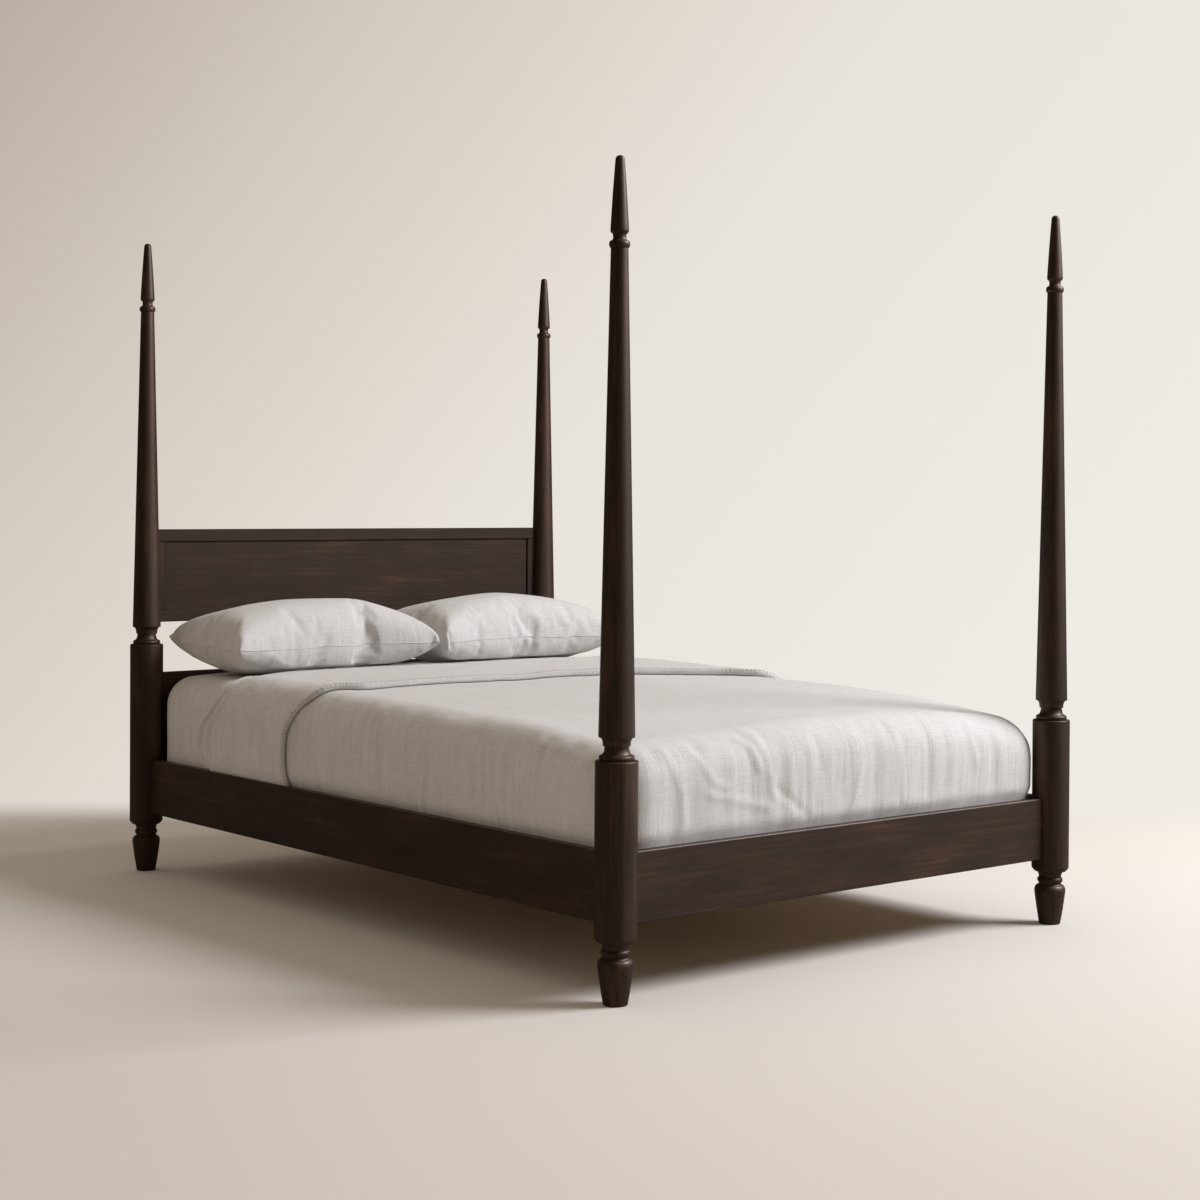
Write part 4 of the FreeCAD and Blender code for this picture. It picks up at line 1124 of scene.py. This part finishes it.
def filled(case):
    """Blows the case up with even pressure and no weight, and keeps the shape it ends in."""
    cloth = case.modifiers.new("filling", "CLOTH")
    for name, value in (
            ("quality", 7), ("mass", 0.25), ("tension_stiffness", 22), ("compression_stiffness", 22),
            ("shear_stiffness", 9), ("bending_stiffness", 0.35), ("air_damping", 3), ("use_pressure", True),
            ("uniform_pressure_force", 7)):
        setattr(cloth.settings, name, value)
    cloth.settings.effector_weights.gravity = 0
    cloth.collision_settings.use_collision = False
    cloth.point_cache.frame_start = 1
    cloth.point_cache.frame_end = FILLING_FRAMES
    for step in range(1, FILLING_FRAMES + 1):
        scene.frame_set(step)
    frozen(case)
    scene.frame_set(1)
    eased = case.modifiers.new("eased", "SMOOTH")
    eased.iterations = 2
    frozen(case)


def seam_numbers():
    """The upper layer's corner numbers round the case's edge, in order."""
    step = CELLS_Y + 1
    return ([i * step for i in range(CELLS_X)] + [CELLS_X * step + j for j in range(CELLS_Y)]
            + [i * step + CELLS_Y for i in range(CELLS_X, 0, -1)] + list(range(CELLS_Y, 0, -1)))


def pillow(node, seed, turned_round, shift):
    """A filled case in the CAD pillow's place, pressed flat where it lies on the sheet and the band."""
    low, high = (np.array(corner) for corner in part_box(node))
    size, middle = high - low, (low + high) / 2
    case = piece_of(node + "_linen", sewn_case(size[X] * SPARE_WIDTH, size[Y] * SPARE_DEPTH, seed), LINEN)
    filled(case)
    points = np.empty(len(case.data.vertices) * 3)
    case.data.vertices.foreach_get("co", points)
    points = points.reshape(-1, 3)
    level, z = points[:, :2], points[:, Z]
    if turned_round:
        level *= -1
    level *= size[:2] / np.ptp(level, axis=0)
    level -= (level.max(0) + level.min(0)) / 2

    seam = low[Z] + SEAM_HEIGHT
    crown = high[Z] - seam
    up = z > 0
    z[up] = crown * (z[up] / z.max()) ** FULLNESS
    z[~up] *= BELLY_PRESS * SEAM_HEIGHT / -z.min()
    rest = -SEAM_HEIGHT + SHEET_GAP + BAND_STEP * (1 - ease(level[:, Y] + middle[Y], *BAND_EDGE))
    over = (z - rest) / REST_ROUND
    z[:] = np.where(over < 1, rest + REST_ROUND * np.where(over < -1, 0, (over + 1) ** 2 / 4), z)
    z += CORNER_RISE * ease(-level[:, X] / size[X], *RAISED_ACROSS) * ease(level[:, Y] / size[Y], *RAISED_ALONG)
    points += [middle[X] + shift, middle[Y], seam]
    case.data.vertices.foreach_set("co", points.ravel())
    case.data.update()
    case.data.shade_smooth()

    edge = points[seam_numbers()]
    for _ in range(SEAM_SMOOTHINGS):
        edge = (np.roll(edge, 1, 0) + 2 * edge + np.roll(edge, -1, 0)) / 4
    edging(node + "_seam", edge, SEAM_RADIUS, LINEN, node)
    finer = case.modifiers.new("finer_cloth", "SUBSURF")
    finer.levels = finer.render_levels = 1
    frozen(case)
    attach(case, node)
    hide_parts(node)


pillow("pillow_left", seed=41, turned_round=False, shift=-8 * MM)
pillow("pillow_right", seed=42, turned_round=True, shift=0.0)

for shape in (SCREW, STITCH):
    bpy.data.objects.remove(shape)


# The stage: a pale floor that fades into a backdrop with painted light and shade, one large soft lamp, and the camera.

RIGHT = (0.7725, -0.635, 0.0)
BEHIND = (0.635, 0.7725, 0.0)
VIEWPOINT = (-3.5935, -4.4873, 1.0559)
FILL_FROM = (-0.16, 0.5, 0.85)
FLOOR_REACH = 60.0
# How fast the backdrop's painted light changes to the right and upwards, and its share straight ahead.
TONE_RIGHT, TONE_UP, TONE_AHEAD = 1.1, -0.85, 0.5
# Distances over which the floor fades into the backdrop: from the bed's middle, and behind it.
FADE_AWAY, FADE_BEHIND = (2.4, 6.0), (1.2, 1.8)
# The share of the backdrop's light, and the share of the floor's light lost, that reflections see.
BACKDROP_MIRRORED, FLOOR_DIMMED = 0.08, 0.75


def backdrop_painted_light(tree, direction):
    """The backdrop's colour by direction from the viewpoint, with painted light and shade: warm and darker to the left
    and upwards, paler to the right, on the lamp's side.
    """
    side = add(tree, "ShaderNodeVectorMath", {0: direction, 1: RIGHT}, operation="DOT_PRODUCT").outputs["Value"]
    height = add(tree, "ShaderNodeSeparateXYZ", {0: direction}).outputs["Z"]
    across = add(tree, "ShaderNodeMath", {0: side, 1: TONE_RIGHT, 2: TONE_AHEAD}, operation="MULTIPLY_ADD")
    share = add(tree, "ShaderNodeMath", {0: height, 1: TONE_UP, 2: across}, operation="MULTIPLY_ADD")
    # Painted light and shade: darker warm tones on the shaded side, pale ones on the lit side.
    return add(tree, "ShaderNodeValToRGB", {"Fac": share}, [
        (0.0, "#b5aa9e"), (0.2, "#d2c9bf"), (0.3, "#dcd4cb"), (0.46, "#e8e3dc"), (0.8, "#efece6")])


def studio_world():
    """The camera sees the backdrop, reflections see it dimmed, and a warm fill from overhead lights the rest."""
    world = bpy.data.worlds.new("studio")
    world.use_nodes = True
    tree = world.node_tree
    tree.nodes.clear()
    path = add(tree, "ShaderNodeLightPath").outputs
    reflected = add(tree, "ShaderNodeMath", {0: path["Is Glossy Ray"], 1: path["Is Transmission Ray"]},
                    operation="MAXIMUM")
    seen = add(tree, "ShaderNodeMath", {0: path["Is Camera Ray"], 1: reflected}, operation="MAXIMUM")
    sky = add(tree, "ShaderNodeTexCoord").outputs["Generated"]
    dimmed = add(tree, "ShaderNodeMapRange", {
        "Value": path["Is Camera Ray"], "To Min": BACKDROP_MIRRORED, "To Max": 1.0})
    shown = add(tree, "ShaderNodeBackground", {"Color": backdrop_painted_light(tree, sky), "Strength": dimmed})
    upward = add(tree, "ShaderNodeVectorMath", {0: sky, 1: FILL_FROM}, operation="DOT_PRODUCT").outputs["Value"]
    overhead = add(tree, "ShaderNodeMapRange", {
        "Value": upward, "From Min": -0.3, "From Max": 1.0, "To Min": 0.03, "To Max": 0.68})
    fill = add(tree, "ShaderNodeBackground", {"Color": colour("#f6e6d4"), "Strength": overhead})
    mixed = add(tree, "ShaderNodeMixShader", {0: seen, 1: fill, 2: shown})
    add(tree, "ShaderNodeOutputWorld", {"Surface": mixed})
    return world


def studio_paint():
    # Matt paint on the studio floor: pale and warm, without a pattern. Far off and behind the bed, the camera sees it
    # fade into a glow painted in the backdrop's light and shade, in place of the lit floor, and reflections see it
    # dimmed.
    made, tree, shader = begun("studio_floor", Base_Color=colour("#d6d0c9"), Roughness=0.9, Specular_IOR_Level=0.1)
    place = add(tree, "ShaderNodeTexCoord").outputs["Object"]
    away = add(tree, "ShaderNodeVectorMath", {0: place}, operation="LENGTH").outputs["Value"]
    behind = add(tree, "ShaderNodeVectorMath", {0: place, 1: BEHIND}, operation="DOT_PRODUCT").outputs["Value"]
    far_off, past_bed = (
        add(tree, "ShaderNodeMapRange", {"Value": value, "From Min": start, "From Max": end},
            interpolation_type="SMOOTHSTEP")
        for value, (start, end) in ((away, FADE_AWAY), (behind, FADE_BEHIND)))
    faded = add(tree, "ShaderNodeMath", {0: far_off, 1: past_bed}, operation="MAXIMUM")
    path = add(tree, "ShaderNodeLightPath").outputs
    fade = add(tree, "ShaderNodeMath", {0: faded, 1: path["Is Camera Ray"]}, operation="MULTIPLY")
    mirrored = add(tree, "ShaderNodeMath", {0: path["Is Glossy Ray"], 1: FLOOR_DIMMED}, operation="MULTIPLY")
    unlit = add(tree, "ShaderNodeEmission", {"Strength": 0.0})
    dull = add(tree, "ShaderNodeMixShader", {0: mirrored, 1: shader, 2: unlit})
    from_viewpoint = add(tree, "ShaderNodeVectorMath", {0: place, 1: VIEWPOINT}, operation="SUBTRACT")
    bearing = add(tree, "ShaderNodeVectorMath", {0: from_viewpoint}, operation="NORMALIZE").outputs["Vector"]
    # A painted glow in the backdrop's light and shade, which the camera sees instead of the lit floor far off.
    painted_backdrop_glow = add(tree, "ShaderNodeEmission", {"Color": backdrop_painted_light(tree, bearing), "Strength": 1.0})
    mixed = add(tree, "ShaderNodeMixShader", {0: fade, 1: dull, 2: painted_backdrop_glow})
    feed(tree, tree.nodes["Material Output"], {"Surface": mixed})
    return made


def soft_lamp(name, place, aim, size, power, tint):
    """A round lamp of a diameter in metres and a power in watts, aimed at a point."""
    lamp = bpy.data.lights.new(name, "AREA")
    lamp.shape = "DISK"
    lamp.size = size
    lamp.energy = power
    lamp.color = colour(tint)[:3]
    made = bpy.data.objects.new(name, lamp)
    scene.collection.objects.link(made)
    made.location = place
    made.rotation_euler = (Vector(aim) - Vector(place)).to_track_quat("-Z", "Y").to_euler()


scene.world = studio_world()
floor_mesh = bpy.data.meshes.new("floor")
floor_mesh.from_pydata([(x * FLOOR_REACH, y * FLOOR_REACH, 0) for x, y in ((-1, -1), (1, -1), (1, 1), (-1, 1))],
                       [], [(0, 1, 2, 3)])
floor = piece_of("studio_floor", floor_mesh, studio_paint())
floor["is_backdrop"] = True
soft_lamp("key_lamp", place=(3.97, -3.83, 4.71), aim=(0.0, 0.0, 0.4), size=3.4, power=590.0, tint="#f5f8ff")

# The camera, as solved from the photograph: turned from the bed's length, tipped down and rolled a little.
YAW, PITCH, ROLL = math.radians(39.43), math.radians(0.799), math.radians(0.324)
forward = Vector((math.sin(YAW) * math.cos(PITCH), math.cos(YAW) * math.cos(PITCH), -math.sin(PITCH)))
level = Vector((math.cos(YAW), -math.sin(YAW), 0))
right = math.cos(ROLL) * level + math.sin(ROLL) * level.cross(forward)
upward = right.cross(forward)
lens = bpy.data.cameras.new("camera")
lens.sensor_width = 36.0
lens.lens = 64.54
lens.shift_y = -0.0578
lens.clip_end = 200.0
camera = bpy.data.objects.new("camera", lens)
scene.collection.objects.link(camera)
camera.matrix_world = Matrix.Translation(VIEWPOINT) @ Matrix((right, upward, -forward)).transposed().to_4x4()
scene.camera = camera

low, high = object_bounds()
